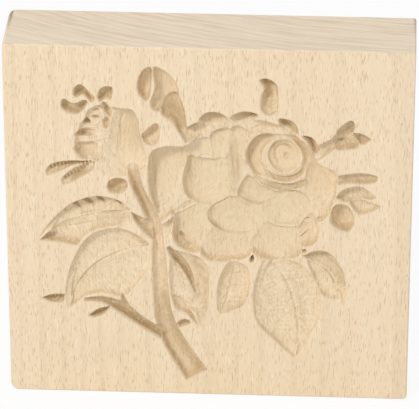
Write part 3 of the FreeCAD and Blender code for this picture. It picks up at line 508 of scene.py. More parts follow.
def carveLowerLeaf(face):
    # The lower leaf at the left, hollowed on both sides of its rib.
    leaf, level = carving["leaf"], carving["leafLevel"]
    face.ground(loop((-16.2, -6.2), (-20.6, -3.0), (-29.4, -4.6), (-33.4, -12.0), (-34.9, -21.8),
                     (-30.2, -20.0), (-22.0, -20.4), (-16.2, -13.6)), level)
    face.cup(between([(-14.6, -5.4), (-19.4, -2.2), (-24.6, -1.4), (-30.0, -4.2), (-33.8, -11.0),
                      (-35.6, -18.6), (-35.2, -25.6)],
                     [(-35.2, -25.6), (-32.4, -17.8), (-28.0, -12.5), (-22.0, -8.9), (-14.6, -5.4)]),
             leaf - 0.2, (0.3, 0.2), roundness=0.24)
    face.cup(between([(-14.6, -5.4), (-22.0, -8.1), (-28.0, -11.7), (-32.6, -17.0), (-34.9, -24.6)],
                     [(-34.9, -24.6), (-30.6, -21.1), (-26.0, -19.9), (-21.0, -20.6), (-17.2, -16.2),
                      (-14.4, -11.4), (-14.6, -5.4)]), leaf - 0.25, (-0.6, 0.3), roundness=0.22)


def carveStemLeaf(face):
    # The leaf close to the stem, with a deep rib.
    leaf, level = carving["leaf"], carving["leafLevel"]
    face.ground(loop((-8.6, -8.0), (-3.2, -9.6), (-0.4, -15.0), (-1.2, -24.6), (-6.6, -23.6), (-9.0, -16.0)),
                level)
    face.cup(between([(-9.4, -6.8), (-5.0, -8.0), (-1.6, -9.6), (0.1, -13.4), (0.2, -20.0), (-0.4, -25.0),
                      (-1.9, -29.6)],
                     [(-1.9, -29.6), (-3.1, -24.6), (-3.3, -19.6), (-5.4, -13.6), (-9.4, -6.8)]),
             leaf + 0.2, (0.4, 0.4), roundness=0.34)
    face.cup(between([(-9.6, -9.2), (-7.0, -12.6), (-4.8, -16.4), (-3.4, -20.4), (-3.3, -25.0)],
                     [(-3.3, -25.0), (-5.8, -21.8), (-9.4, -18.8), (-9.6, -9.2)]), leaf - 0.5, roundness=0.3)
    face.cup(between([(-9.7, -18.9), (-6.4, -21.3), (-4.2, -24.4), (-1.9, -29.6)],
                     [(-1.9, -29.6), (-3.8, -27.2), (-5.4, -25.4), (-8.2, -23.8), (-9.7, -18.9)]), leaf - 0.2)
    face.groove([(-10.0, -6.3, 0.4, 1.2), (-7.8, -9.8, 0.9, 2.9), (-5.2, -14.0, 0.9, 3.1),
                 (-3.3, -19.6, 0.3, 2.0)])


def carveHangingLeaves(face):
    # The three leaves under the rose.
    leaf, level = carving["leaf"], carving["leafLevel"]
    face.ground(loop((14.6, -9.6), (12.0, -19.0), (14.0, -28.8), (21.4, -34.4), (26.6, -26.0), (25.8, -15.4),
                     (19.6, -9.4)), level)
    face.ground(loop((25.2, -8.4), (30.0, -8.2), (33.0, -13.6), (33.2, -19.0), (28.4, -18.4), (26.0, -12.6)),
                level)
    face.cup(loop((5.0, -10.4), (3.0, -14.0), (2.1, -19.0), (2.7, -24.6), (5.8, -24.2), (9.0, -22.2),
                  (10.5, -17.0), (9.8, -12.0), (7.4, -10.2)), leaf - 0.2, (0.3, 0.1), roundness=0.3)
    face.cup(between([(14.0, -8.2), (12.0, -14.0), (11.1, -20.0), (12.0, -26.8), (16.0, -31.8),
                      (21.9, -37.5)], [(21.9, -37.5), (21.9, -29.0), (20.2, -20.6), (17.4, -13.6),
                                       (14.0, -8.2)]), leaf - 0.3, (0.4, -0.2), roundness=0.3)
    face.cup(between([(14.0, -8.2), (18.2, -13.4), (21.2, -20.6), (22.7, -29.0), (21.9, -37.5)],
                     [(21.9, -37.5), (25.2, -31.2), (28.0, -24.6), (27.2, -16.6), (22.6, -10.2),
                      (14.0, -8.2)]), leaf - 0.2, roundness=0.3)
    face.cup(between([(23.2, -7.9), (26.6, -6.4), (30.0, -7.0), (33.2, -11.4), (34.3, -17.0), (34.0, -22.2)],
                     [(34.0, -22.2), (32.2, -17.4), (29.6, -12.6), (23.2, -7.9)]), leaf, (0.3, 0.3))
    face.cup(between([(24.2, -8.4), (28.6, -11.4), (31.2, -15.0), (32.9, -20.0)],
                     [(32.9, -20.0), (29.8, -19.7), (27.4, -17.6), (25.6, -12.6), (24.2, -8.4)]),
             leaf - 0.5, roundness=0.3)
    face.cup(oval(23.7, -6.7, 0.8, 0.65, 30), 1.7)


def carveStem(face):
    # The stem, its twig and the small shoots beside them.
    face.groove([(-18.6, 15.0, 1.4, 2.0), (-17.4, 10.0, 1.1, 2.5), (-14.8, 4.0, 1.2, 2.6),
                 (-12.9, -1.0, 1.3, 2.6), (-12.3, -6.0, 1.1, 2.0)], roundEnds=True, level=True)
    face.groove([(-12.5, -3.5, 1.0, 1.5), (-12.3, -9.0, 1.6, 1.7), (-11.8, -19.0, 1.8, 1.8),
                 (-11.1, -26.0, 2.0, 2.2), (-8.7, -33.0, 2.4, 2.8), (-2.9, -43.0, 2.8, 2.5)], level=True)
    face.groove([(-31.0, -21.8, 0.4, 0.8), (-26.2, -21.8, 0.8, 1.5), (-21.6, -24.0, 1.4, 2.2),
                 (-16.8, -27.8, 1.1, 2.4), (-11.2, -31.5, 1.2, 2.6)], level=True)
    face.groove([(-22.0, -19.1, 0.2, 0.6), (-21.4, -21.0, 0.4, 1.4), (-20.6, -23.6, 0.8, 2.0)])
    face.cup(between([(-41.8, -21.6), (-39.0, -20.5), (-35.7, -20.4)],
                     [(-35.7, -20.4), (-36.4, -22.7), (-39.2, -22.9), (-41.8, -21.6)]), 1.7)
    face.cup(between([(-30.1, -26.4), (-27.6, -24.4), (-24.2, -23.4)],
                     [(-24.2, -23.4), (-26.0, -25.9), (-28.4, -27.0), (-30.1, -26.4)]), 1.7)
    face.cup(loop((-4.3, -27.9), (-5.2, -26.9), (-6.7, -26.9), (-8.2, -28.4), (-8.3, -29.8), (-6.2, -29.0)),
             1.4)


def scoreVeins(face):
    # The ribs of the leaves and their side veins.
    for points, width, cut in (
            ([(-15.2, -6.2), (-22.0, -8.7), (-28.0, -12.2), (-32.4, -17.6), (-34.6, -24.0)], 0.8, 0.3),
            ([(15.4, -9.6), (18.4, -14.4), (20.9, -20.6), (22.3, -29.0), (22.0, -35.4)], 0.8, 0.30),
            ([(6.4, -11.4), (5.6, -16.0), (4.6, -21.0), (3.6, -24.0)], 0.8, 0.25),
            ([(-38.0, -2.6), (-33.0, -1.8), (-27.0, 0.2), (-21.0, 2.0)], 0.6, 0.18)):
        face.scratch(points, width, cut)
    veins = [((-18.5, -7.4), (-22.4, -2.8)), ((-22.4, -8.9), (-27.6, -4.0)), ((-26.0, -10.9), (-31.4, -7.4)),
             ((-29.4, -13.4), (-33.6, -12.0)), ((-32.0, -17.0), (-34.8, -17.6)),
             ((-18.6, -7.5), (-17.0, -12.6)), ((-22.2, -8.9), (-20.2, -16.6)),
             ((-25.6, -10.6), (-23.4, -19.0)), ((-28.8, -12.8), (-27.0, -19.2)),
             ((-31.4, -16.0), (-30.6, -20.6)), ((17.0, -12.2), (13.4, -15.4)), ((18.8, -15.4), (12.8, -20.0)),
             ((20.2, -19.0), (13.2, -25.2)), ((21.4, -23.6), (15.6, -29.8)), ((22.2, -28.2), (18.6, -32.8)),
             ((17.2, -12.2), (21.4, -11.0)), ((19.0, -15.4), (25.4, -14.8)), ((20.6, -19.4), (26.6, -20.0)),
             ((21.6, -24.0), (26.6, -25.6)), ((22.3, -28.4), (25.2, -30.2)), ((6.0, -13.4), (3.6, -15.6)),
             ((5.4, -16.6), (3.2, -19.4)), ((4.8, -19.6), (3.2, -22.2)), ((5.8, -14.4), (9.0, -13.6)),
             ((5.2, -17.4), (9.6, -17.4)), ((4.6, -20.4), (8.8, -21.2))]
    for start, end in veins:
        bow = ((start[0] + end[0]) / 2 - 0.35, (start[1] + end[1]) / 2 - 0.5)
        face.scratch([start, bow, end], 0.6, 0.11)


def scoreRow(face, count, start, startRun, end, endRun, width, cut):
    # Cuts side by side. The runs are how far each end moves from the first cut to the last.
    for share in np.linspace(0, 1, count):
        face.scratch([(start[0] + startRun[0] * share, start[1] + startRun[1] * share),
                      (end[0] + endRun[0] * share, end[1] + endRun[1] * share)], width, cut)


def scoreLeafEdges(face):
    # Wedge cuts under the folded edge of the upper leaf, its turned crease and its rough tip.
    score = face.scratch
    for start, end, width in (((-33.6, 6.0), (-31.7, 4.4), 1.0), ((-31.2, 6.9), (-28.2, 5.0), 1.4),
                              ((-27.8, 7.5), (-25.5, 5.8), 1.2), ((-22.8, 6.9), (-21.5, 5.8), 0.8),
                              ((-36.2, 3.8), (-35.2, 3.0), 0.6), ((-24.9, 7.2), (-24.0, 6.5), 0.5)):
        score([start, end], width, 0.4, 0.6, sunk=True)
        # Painted shade in each wedge cut.
        face.paintShade([start, end], 0.7 * width, 0.25)
    score([(-34.5, 0.4), (-30.0, 2.0), (-26.0, 2.6), (-22.0, 3.6), (-20.0, 3.4)], 0.6, -0.35)
    score([(-27.4, 2.0), (-24.0, 2.5), (-20.6, 2.7)], 0.9, 0.4)
    for k in range(7):
        score([(-41.6 + 0.5 * k, -3.9 - 0.25 * (k % 2)), (-41.2 + 0.5 * k, -5.1 + 0.2 * (k % 3))], 0.45, 0.4)
    scoreRow(face, 11, (-38.6, -2.2), (13.6, 3.4), (-37.4, -5.0), (12.8, 4.4), 0.5, 0.12)
    # Nicks on the narrow leaflets.
    for share in np.linspace(0, 1, 13):
        score([(-39.2 + 11.0 * share, 15.6 + 1.4 * min(1, 3 * share)),
               (-38.6 + 10.6 * share, 14.3 + 1.6 * share)], 0.5, 0.4)
    scoreRow(face, 8, (-35.7, 12.8), (5.6, 3.0), (-34.9, 11.6), (5.4, 3.0), 0.5, 0.35)
    # Nicks inside the folded leaf at the lower right, round its edge.
    for share in np.linspace(0, 1, 10):
        angle = math.radians(100 - 112 * share)
        u, v = 23.8 + 9.6 * math.cos(angle), -18.0 + 10.8 * math.sin(angle)
        score([(u, v), (u - 1.8 * math.cos(angle) + 0.4, v - 1.8 * math.sin(angle) - 0.5)], 0.6, 0.13)
    # Nicks on the two small shoots beside the twig.
    for k in range(6):
        score([(-41.0 + 0.9 * k, -20.9), (-40.6 + 0.9 * k, -22.3)], 0.5, 0.3)
        score([(-29.4 + 0.9 * k, -25.4 + 0.3 * k), (-28.7 + 0.8 * k, -26.6 + 0.35 * k)], 0.5, 0.3)


def scoreStem(face):
    # Short cuts across the twig, and long ones down the stem.
    score = face.scratch
    for share in np.linspace(0, 1, 26):
        u, v = -24.6 + 12.6 * share, -22.6 - 8.2 * share
        score([(u + 0.5, v + 1.0), (u - 0.6, v - 1.2)], 0.45, 0.13)
    for shift in (-0.9, -0.35, 0.25, 0.8):
        score([(-12.1 + shift, -9.0), (-11.8 + shift, -19.0), (-10.9 + 1.1 * shift, -27.0),
               (-8.2 + 1.5 * shift, -34.0), (-4.0 + 1.6 * shift, -41.0)], 0.5, 0.13)
        score([(-18.2 + 0.8 * shift, 13.6), (-17.0 + 0.8 * shift, 9.0), (-14.6 + 0.8 * shift, 3.6),
               (-13.0 + 0.8 * shift, -1.0)], 0.45, 0.12)


def scoreLeafFloors(face):
    # Fans of fine cuts over the floors of the large leaves, and rough cuts in the leaf by the stem.
    for row in ((18, (-15.6, -7.4), (-16.0, -9.4), (-15.0, -10.0), (-11.0, -10.0), 0.45, 0.09),
                (18, (-18.0, -6.0), (-15.0, -10.0), (-20.0, -3.4), (-14.6, -8.4), 0.45, 0.08),
                (18, (16.0, -11.4), (6.0, -20.0), (12.6, -13.4), (4.0, -18.0), 0.45, 0.08),
                (18, (16.6, -10.8), (6.0, -20.0), (22.6, -11.6), (3.2, -17.6), 0.45, 0.08),
                (7, (-2.6, -10.2), (-0.9, -14.0), (-0.6, -11.6), (-0.7, -14.0), 0.6, 0.16),
                (7, (-8.8, -11.6), (4.4, -11.0), (-6.8, -13.4), (3.2, -10.0), 0.6, 0.16)):
        scoreRow(face, *row)


def scorePetals(face):
    # Scored lines along the edges of the petals and of the bud, and one along the stem.
    for points, width, cut in (
            ([(0.6, 4.4), (0.9, 1.6), (3.6, -1.2), (8.2, -1.9), (12.2, -0.9)], 0.6, 0.22),
            ([(8.0, 8.6), (10.0, 7.2), (13.0, 6.7), (15.4, 7.6)], 0.5, 0.22),
            ([(-13.2, 18.6), (-13.4, 12.0), (-12.4, 5.6), (-11.4, 2.4)], 0.7, 0.18),
            ([(-5.0, 17.6), (-5.6, 12.6), (-4.6, 8.8), (-1.6, 6.9)], 0.7, 0.2),
            ([(15.4, 3.4), (17.0, 1.4), (20.0, 1.1), (22.8, 3.6)], 0.5, 0.2),
            ([(26.4, 17.0), (28.8, 15.2), (30.0, 12.0)], 0.5, 0.14),
            ([(-6.8, -2.0), (-5.6, -4.8), (-2.4, -6.2)], 0.6, 0.2),
            ([(2.4, -8.4), (5.6, -9.0), (8.6, -8.0)], 0.5, 0.16),
            ([(-20.6, 31.0), (-21.6, 28.0), (-21.4, 22.0)], 0.6, 0.25),
            ([(-12.6, -8.0), (-12.0, -18.0), (-11.0, -27.0), (-7.6, -34.6), (-2.6, -42.4)], 0.9, 0.18)):
        face.scratch(points, width, cut, sunk=True)


def radialCuts(face, u, v, radius, half, start, end, count, width, cut):
    # Short cuts that point to a centre, side by side along an arc round it.
    for angle in np.radians(np.linspace(start, end, count)):
        c, s = math.cos(angle), math.sin(angle)
        face.scratch([(u + radius * c - half * c, v + radius * s - half * s),
                      (u + radius * c + half * c, v + radius * s + half * s)], width, cut, sunk=True)


def scoreChatter(face):
    # The chattered band under the heart: short cuts crossed by two lines.
    radialCuts(face, 18.3, 21.6, 10.3, 1.2, 228, 304, 26, 0.42, 0.26)
    for radius in (9.7, 10.8):
        turns = np.radians(np.linspace(226, 304, 9))
        face.scratch([(18.3 + radius * math.cos(a), 21.6 + radius * math.sin(a)) for a in turns],
                     0.5, 0.26, 0.1, sunk=True)


def raiseRidges(face):
    # Thin ridges left standing between the cuts of the rose, the buds and two of the leaves.
    for points in ([(-29.6, 30.5), (-28.6, 31.6), (-27.3, 32.0), (-26.1, 31.4), (-25.6, 30.0), (-25.9, 28.6)],
                   [(-29.6, 29.3), (-28.1, 30.4), (-26.6, 30.2), (-26.1, 29.3)],
                   [(-29.1, 28.5), (-27.6, 27.6), (-26.6, 28.5)],
                   [(-31.4, 26.4), (-27.5, 26.8), (-23.7, 25.8)],
                   [(-31.2, 22.8), (-28.5, 23.1), (-25.6, 23.8), (-23.7, 24.3)],
                   [(13.6, 18.0), (14.3, 15.6), (15.6, 13.8), (17.6, 12.9), (20.0, 12.8), (22.0, 13.6)],
                   [(14.6, 18.9), (15.8, 16.4), (18.3, 15.2), (20.6, 15.8), (22.2, 17.6)],
                   [(20.3, 24.4), (22.2, 22.2), (22.8, 19.6), (22.2, 17.4)],
                   [(9.0, 20.0), (9.5, 22.7), (11.2, 25.0), (13.6, 26.3), (16.4, 26.0)],
                   [(22.4, 25.4), (24.2, 23.6), (25.1, 21.4), (25.4, 19.6)],
                   [(7.8, 22.0), (9.5, 24.5), (11.4, 25.8)],
                   [(-3.6, 18.6), (-2.6, 19.7), (-1.0, 20.3), (1.4, 20.0)],
                   [(-13.6, 42.4), (-13.4, 39.6), (-13.9, 36.0)],
                   [(-10.0, -18.5), (-7.0, -21.0), (-4.5, -24.0), (-2.8, -28.0)],
                   [(24.0, -8.2), (27.2, -9.8), (29.8, -12.0)],
                   [(-10.5, 3.4), (-8.2, 3.4), (-6.4, 4.2), (-4.6, 5.4), (-3.0, 6.5)]):
        face.scratch(points, 0.5, -0.3, 0.15, sunk=True)


def scoreEdges(face):
    # Scored lines beside the ridges and along the deeper edges.
    for points, width, cut in (
            ([(17.6, 22.7), (19.4, 22.5), (20.6, 21.0)], 0.6, 0.35),
            ([(15.2, 21.6), (16.0, 23.2), (17.4, 24.1)], 0.8, 0.35),
            ([(0.0, 5.2), (3.3, 6.8), (4.5, 7.8), (6.5, 9.2)], 0.5, 0.3),
            ([(7.4, 8.4), (9.8, 6.9), (12.5, 6.3), (14.0, 7.8)], 0.5, 0.3),
            ([(8.2, 9.4), (10.2, 8.0), (12.6, 7.4)], 0.4, 0.18),
            ([(-0.2, 4.4), (-0.2, 2.6), (0.8, 0.8), (3.4, -1.2), (6.0, -1.7)], 0.6, 0.3),
            ([(14.8, 1.4), (16.6, 0.2), (20.3, -0.3)], 0.6, 0.35),
            ([(18.5, 9.9), (20.2, 9.8), (22.0, 10.1)], 0.5, 0.3),
            ([(23.4, 2.7), (25.0, 2.6)], 0.5, 0.4), ([(26.6, 2.8), (28.0, 2.6)], 0.5, 0.4),
            ([(24.8, -0.4), (23.9, -1.6), (22.4, -2.8)], 0.6, 0.4),
            ([(-7.4, -2.0), (-6.7, -2.9), (-6.0, -3.8)], 1.1, 0.5),
            ([(-7.0, -3.4), (-5.4, -5.0), (-3.6, -6.0)], 0.6, 0.3),
            ([(26.4, 18.8), (27.8, 17.5), (29.5, 16.5), (31.2, 15.3)], 0.7, 0.35),
            ([(-2.0, -8.6), (-1.0, -9.6), (0.0, -10.1)], 0.6, 0.35),
            ([(5.2, 23.6), (6.0, 17.0), (6.6, 10.6)], 0.5, 0.2),
            ([(6.8, 20.8), (7.4, 15.0), (7.0, 10.8)], 0.5, 0.2),
            ([(-4.4, 19.0), (-4.9, 15.0), (-4.4, 11.6)], 1.0, 0.25),
            ([(17.6, 29.4), (19.4, 28.6), (21.0, 27.4)], 0.8, 0.3),
            ([(10.2, 21.4), (10.8, 20.4)], 0.8, 0.15), ([(0.7, 25.4), (1.8, 26.2), (3.9, 26.6)], 0.5, 0.3),
            ([(-5.2, 26.6), (-4.0, 27.4), (-2.6, 28.0)], 0.5, 0.3),
            ([(14.0, 38.6), (14.1, 32.0)], 0.5, 0.2), ([(15.3, 39.0), (15.4, 32.4)], 0.5, 0.2),
            ([(27.5, -10.4), (29.6, -12.2), (31.0, -14.6), (31.6, -16.9)], 0.6, 0.4),
            ([(31.0, 24.6), (34.0, 24.6)], 0.5, 0.35), ([(36.8, 26.0), (36.9, 23.8)], 0.5, 0.35),
            ([(-33.8, 11.6), (-32.4, 13.6), (-30.4, 14.9)], 0.6, 0.35)):
        face.scratch(points, width, cut, sunk=True)


def roughen(face):
    # Rough patches, criss-crossed by the tip of the knife, and a row of cuts over the heart.
    for u, v, wide, high, turn in ((24.0, -3.4, 2.2, 1.6, 35), (-39.6, -4.4, 1.6, 0.7, 30),
                                   (28.6, 21.6, 1.6, 1.6, 40), (6.0, -22.4, 2.2, 0.8, 10),
                                   (-17.2, -3.9, 1.4, 0.7, -30), (10.9, -10.0, 0.9, 1.2, 0)):
        c, s = math.cos(math.radians(turn)), math.sin(math.radians(turn))
        for share in (-1 + k / 4 for k in range(9)):
            for p, q in (((wide * share, -high), (wide * share + 0.4, high)),
                         ((-wide, high * share), (wide, high * share - 0.3))):
                face.scratch([(u + p[0] * c - p[1] * s, v + p[0] * s + p[1] * c),
                              (u + q[0] * c - q[1] * s, v + q[0] * s + q[1] * c)], 0.42, 0.16, sunk=True)
    radialCuts(face, 15.0, 20.0, 8.2, 0.9, 58, 145, 9, 0.4, 0.1)


def paintShadeInCuts(face):
    # Painted shade on the cut floors where shade falls in the recesses: along the stem, in the sepals and
    # deep corners.
    for points, width, amount in (
            ([(-16.6, 12.0), (-14.6, 6.0), (-12.8, 1.0), (-12.0, -3.0)], 1.2, 0.35),
            ([(-11.2, -7.0), (-10.7, -14.0), (-10.4, -20.0)], 1.0, 0.3),
            ([(-10.6, -20.0), (-9.6, -26.0), (-7.2, -32.0), (-4.2, -37.6), (-1.6, -41.4)], 2.8, 0.55),
            ([(-10.8, -34.0), (-8.6, -38.0), (-6.6, -41.0)], 1.4, 0.25),
            ([(-24.6, -23.0), (-18.0, -26.8), (-11.4, -31.0)], 2.4, 0.65),
            ([(-30.0, -21.6), (-25.0, -22.2)], 1.4, 0.35),
            ([(-41.6, -21.5), (-38.8, -21.5), (-36.2, -21.6)], 1.6, 0.7),
            ([(-30.0, -26.2), (-27.0, -25.2), (-24.6, -24.4)], 2.0, 0.55),
            ([(-32.0, 36.8), (-31.4, 35.6), (-28.6, 34.6)], 2.4, 0.45),
            ([(-35.4, 32.4), (-32.6, 31.2), (-30.2, 32.4)], 2.2, 0.5),
            ([(-23.8, 36.6), (-26.0, 35.8), (-25.6, 33.8)], 2.2, 0.45),
            ([(-18.4, 30.2), (-18.0, 27.0), (-17.4, 22.0)], 3.2, 0.28),
            ([(-25.2, 32.4), (-24.5, 30.4)], 1.4, 0.5), ([(-25.0, 28.6), (-24.8, 26.8)], 1.8, 0.22),
            ([(-31.0, 25.4), (-28.6, 25.2)], 1.6, 0.12),
            ([(-31.4, 21.4), (-29.6, 19.6), (-27.6, 18.6)], 2.8, 0.2),
            ([(-30.4, 28.2), (-29.2, 27.6)], 1.4, 0.2),
            ([(-16.4, 41.0), (-16.8, 38.0), (-16.0, 35.0)], 2.0, 0.35),
            ([(-11.0, 33.6), (-7.4, 31.6), (-6.2, 27.0)], 2.6, 0.5),
            ([(14.6, 39.6), (14.4, 35.0), (14.6, 31.4)], 3.0, 0.35),
            ([(-1.6, 30.2), (1.4, 31.0), (4.2, 30.0)], 1.6, 0.5),
            ([(6.2, 30.6), (9.2, 31.3), (11.6, 30.9)], 1.6, 0.5),
            ([(18.0, 29.6), (20.2, 28.8), (21.6, 27.0)], 1.6, 0.45),
            ([(9.6, 18.6), (10.0, 21.6), (11.8, 24.6), (14.8, 25.2)], 2.0, 0.5),
            ([(5.9, 23.0), (6.6, 16.0), (6.2, 10.0)], 2.6, 0.38),
            ([(-4.8, 19.4), (-5.0, 14.0), (-4.6, 11.0)], 2.0, 0.3),
            ([(-13.6, 18.6), (-14.0, 12.0), (-13.0, 5.0)], 1.6, 0.25),
            ([(22.6, 24.0), (24.4, 20.6), (23.8, 16.6)], 1.8, 0.3),
            ([(14.2, 12.0), (17.0, 11.3), (20.4, 11.4), (23.4, 12.6)], 2.2, 0.35),
            ([(28.6, 22.6), (32.0, 24.4)], 2.8, 0.3),
            ([(31.8, 24.2), (34.4, 24.0), (36.2, 23.6)], 2.8, 0.45),
            ([(32.0, 26.6), (34.2, 27.8), (35.0, 29.2)], 2.4, 0.55),
            ([(36.4, 25.0), (38.8, 24.8)], 2.0, 0.45),
            ([(32.4, 14.0), (36.0, 14.4), (40.6, 14.2)], 2.2, 0.35),
            ([(32.0, 9.4), (35.0, 10.6), (39.0, 9.8)], 2.0, 0.25),
            ([(31.4, 5.6), (32.6, 2.6), (33.6, 0.6)], 2.6, 0.35),
            ([(-38.6, 15.6), (-34.0, 16.6), (-30.0, 17.0)], 2.0, 0.5),
            ([(-35.6, 12.4), (-33.4, 13.0), (-31.0, 14.6)], 2.0, 0.45),
            ([(-24.2, 11.4), (-22.6, 11.4), (-20.8, 11.6)], 2.2, 0.4),
            ([(-39.4, -0.4), (-36.6, 2.2), (-32.0, 5.0), (-27.0, 6.4), (-22.0, 5.6)], 2.2, 0.32),
            ([(-39.8, -4.2), (-36.0, -4.6), (-32.8, -5.4)], 1.8, 0.3),
            ([(-27.0, 1.8), (-23.0, 2.2), (-20.4, 2.0)], 1.8, 0.35),
            ([(-18.4, 2.4), (-15.4, 0.6), (-13.8, -2.4)], 2.2, 0.5),
            ([(-34.8, -24.0), (-34.6, -17.0), (-32.6, -9.6), (-29.0, -4.4)], 2.6, 0.16),
            ([(-18.4, -3.4), (-15.4, -5.0)], 1.8, 0.45),
            ([(-8.4, -9.4), (-5.5, -13.0), (-3.5, -17.0), (-2.8, -20.0)], 1.8, 0.5),
            ([(-3.5, -10.6), (-1.2, -14.0), (-0.6, -20.0), (-1.6, -26.0)], 1.8, 0.4),
            ([(-4.4, -24.4), (-3.0, -27.0), (-2.0, -29.3)], 1.4, 0.45),
            ([(-7.4, -28.0), (-6.0, -27.4), (-4.8, -27.6)], 1.4, 0.55),
            ([(3.4, -13.6), (2.8, -18.0), (3.4, -22.6)], 1.6, 0.15),
            ([(12.6, -12.0), (11.9, -19.0), (13.2, -26.0)], 1.8, 0.12),
            ([(25.0, -7.6), (28.6, -7.4), (32.0, -10.6), (33.4, -15.0)], 1.8, 0.5),
            ([(10.8, -9.0), (10.9, -10.4)], 1.6, 0.5),
            ([(-7.6, 2.0), (-8.0, -2.0), (-6.0, -5.4)], 1.8, 0.25),
            ([(0.6, 4.4), (0.2, 2.0), (2.6, -0.8)], 1.4, 0.25)):
        face.paintShade(points, width, amount)


def carveFace():
    # The depths of the finished carving on the grid, and its tones: painted shade, painted highlights on
    # ridges and darker end grain.
    face = Face()
    for carve in (carveCrown, carveLeftPetals, carveSkirt, carveHeart, carveTallBud, carveLeftBud,
                  carveRightBud, carveRightLeaves, carveUpperLeaf, carveLowerLeaf, carveStemLeaf,
                  carveHangingLeaves, carveStem):
        carve(face)
    face.settle()
    for finish in (scoreVeins, scoreLeafEdges, scoreStem, scoreLeafFloors, scorePetals, scoreChatter,
                   raiseRidges, scoreEdges, roughen, paintShadeInCuts):
        finish(face)
    print("carved", face.depth.shape, "deepest", round(float(face.depth.max()), 2), flush=True)
    us, vs, depth = face.us, face.vs, face.depth
    # Lines and tool marks fade in just inside the rims.
    inside = np.clip(blurred((depth > carving["carvedFrom"]).astype(float), 1.2) * 1.6 - 0.6, 0, 1)
    marks = valueNoise(us, vs, 1.4, 2.6, 3, 10) + valueNoise(us, vs, 2.6, 1.4, 8, 35)
    depth = depth + inside * (face.fine + carving["toolMarks"] * marks)
    depth = blurred(depth, carving["rimSoftness"])
    depth[depth < carving["flatBelow"]] = 0.0
    # Walls that cut across the upright fibres show end grain and are darker.
    across = np.abs(np.gradient(blurred(depth, 1.0), carving["step"], axis=0))
    across = np.clip(blurred(across, 1.0) - 0.2, 0, 1)
    # Scored lines add painted shade to the tone, and raised ridges add a painted highlight as negative tone.
    lines = blurred(face.fine, 0.5) / carving["lineDepth"] * carving["lineShadeAndHighlight"]
    tone = np.clip(blurred(face.tone, 1.5) * inside + carving["crossGrain"] * across, 0, 1)
    face.tone = (tone + lines * inside) * np.clip(depth / 0.15, 0, 1)
    face.depth = depth
    return face


def outerShell():
    # The solid's outside, without its flat front and its own carving.
    bm = bmesh.new()
    bm.from_mesh(cadBlock.data)
    bmesh.ops.remove_doubles(bm, verts=bm.verts, dist=1e-6)
    low, high = blockLow, blockHigh
    side, end, back = (carving[name] / 1000 for name in ("sideMargin", "endMargin", "backMargin"))
    gone = []
    for polygon in bm.faces:
        middle = polygon.calc_center_median()
        flat = all(v.co.y < frontY + 1e-6 for v in polygon.verts)
        carved = (middle.y < high.y - back and low.x + side < middle.x < high.x - side
                  and low.z + end < middle.z < high.z - end)
        if flat or carved:
            gone.append(polygon)
    bmesh.ops.delete(bm, geom=gone, context="FACES")
    print("shell of", len(bm.faces), "faces", flush=True)
    return bm


def setFace(bm, face):
    # Lays the grid of depths into the open front and joins it to the rim of the shell.
    rim = [e for e in bm.edges if e.is_boundary]
    rows, cols = face.depth.shape
    grid = bmesh.ops.create_grid(bm, x_segments=cols - 1, y_segments=rows - 1, size=0.5)["verts"]
    for vert in grid:
        i = int(round((vert.co.x + 0.5) * (cols - 1)))
        j = int(round((vert.co.y + 0.5) * (rows - 1)))
        vert.co = Vector((face.us[i] / 1000, frontY + face.depth[j, i] / 1000,
                          blockLow.z + (face.vs[j] + blockHeight / 2) / 1000))
    patch = set(grid)
    edges = [e for e in bm.edges if e.is_boundary and e.verts[0] in patch]
    bmesh.ops.triangle_fill(bm, use_beauty=True, use_dissolve=False, edges=edges + rim,
                            normal=Vector((0, -1, 0)))
    bmesh.ops.remove_doubles(bm, verts=bm.verts, dist=1e-7)
    bmesh.ops.recalc_face_normals(bm, faces=bm.faces)
    loose = sum(1 for e in bm.edges if not e.is_manifold)
    print("block of", len(bm.faces), "faces, open edges", loose, flush=True)


def placesOf(mesh):
    places = np.empty(len(mesh.vertices) * 3)
    mesh.vertices.foreach_get("co", places)
    return places.reshape(-1, 3)


def thinOut(block):
    # Leaves the block its number of triangles, none of them outside the solid's box.
    full = block.data
    triangles = sum(len(p.vertices) - 2 for p in full.polygons)
    thin = block.modifiers.new("thin", "DECIMATE")
    thin.ratio = min(1.0, carving["triangles"] / triangles)
    bpy.context.view_layer.update()
    mesh = bpy.data.meshes.new_from_object(block.evaluated_get(bpy.context.evaluated_depsgraph_get()))
    block.modifiers.clear()
    block.data = mesh
    bpy.data.meshes.remove(full)
    mesh.name = "carvedBlock"
    places = np.clip(placesOf(mesh), np.array(blockLow), np.array(blockHigh))
    mesh.vertices.foreach_set("co", places.ravel())
    print("thinned to", len(mesh.polygons), "faces", flush=True)


def smoothShading(block):
    # Smooth floors and walls, with a crisp edge where the flat face meets the carving.
    mesh = block.data
    for polygon in mesh.polygons:
        polygon.use_smooth = True
    mesh.set_sharp_from_angle(angle=math.radians(carving["sharpAngle"]))
    bm = bmesh.new()
    bm.from_mesh(mesh)
    level = {f: all(v.co.y < frontY + 2e-6 for v in f.verts) for f in bm.faces}
    for e in bm.edges:
        if len(e.link_faces) == 2 and abs(e.verts[0].co.x) < carving["crispWithin"] / 1000:
            if level[e.link_faces[0]] != level[e.link_faces[1]]:
                e.smooth = False
    bm.to_mesh(mesh)
    bm.free()
    weighted = block.modifiers.new("evenShading", "WEIGHTED_NORMAL")
    weighted.keep_sharp = True


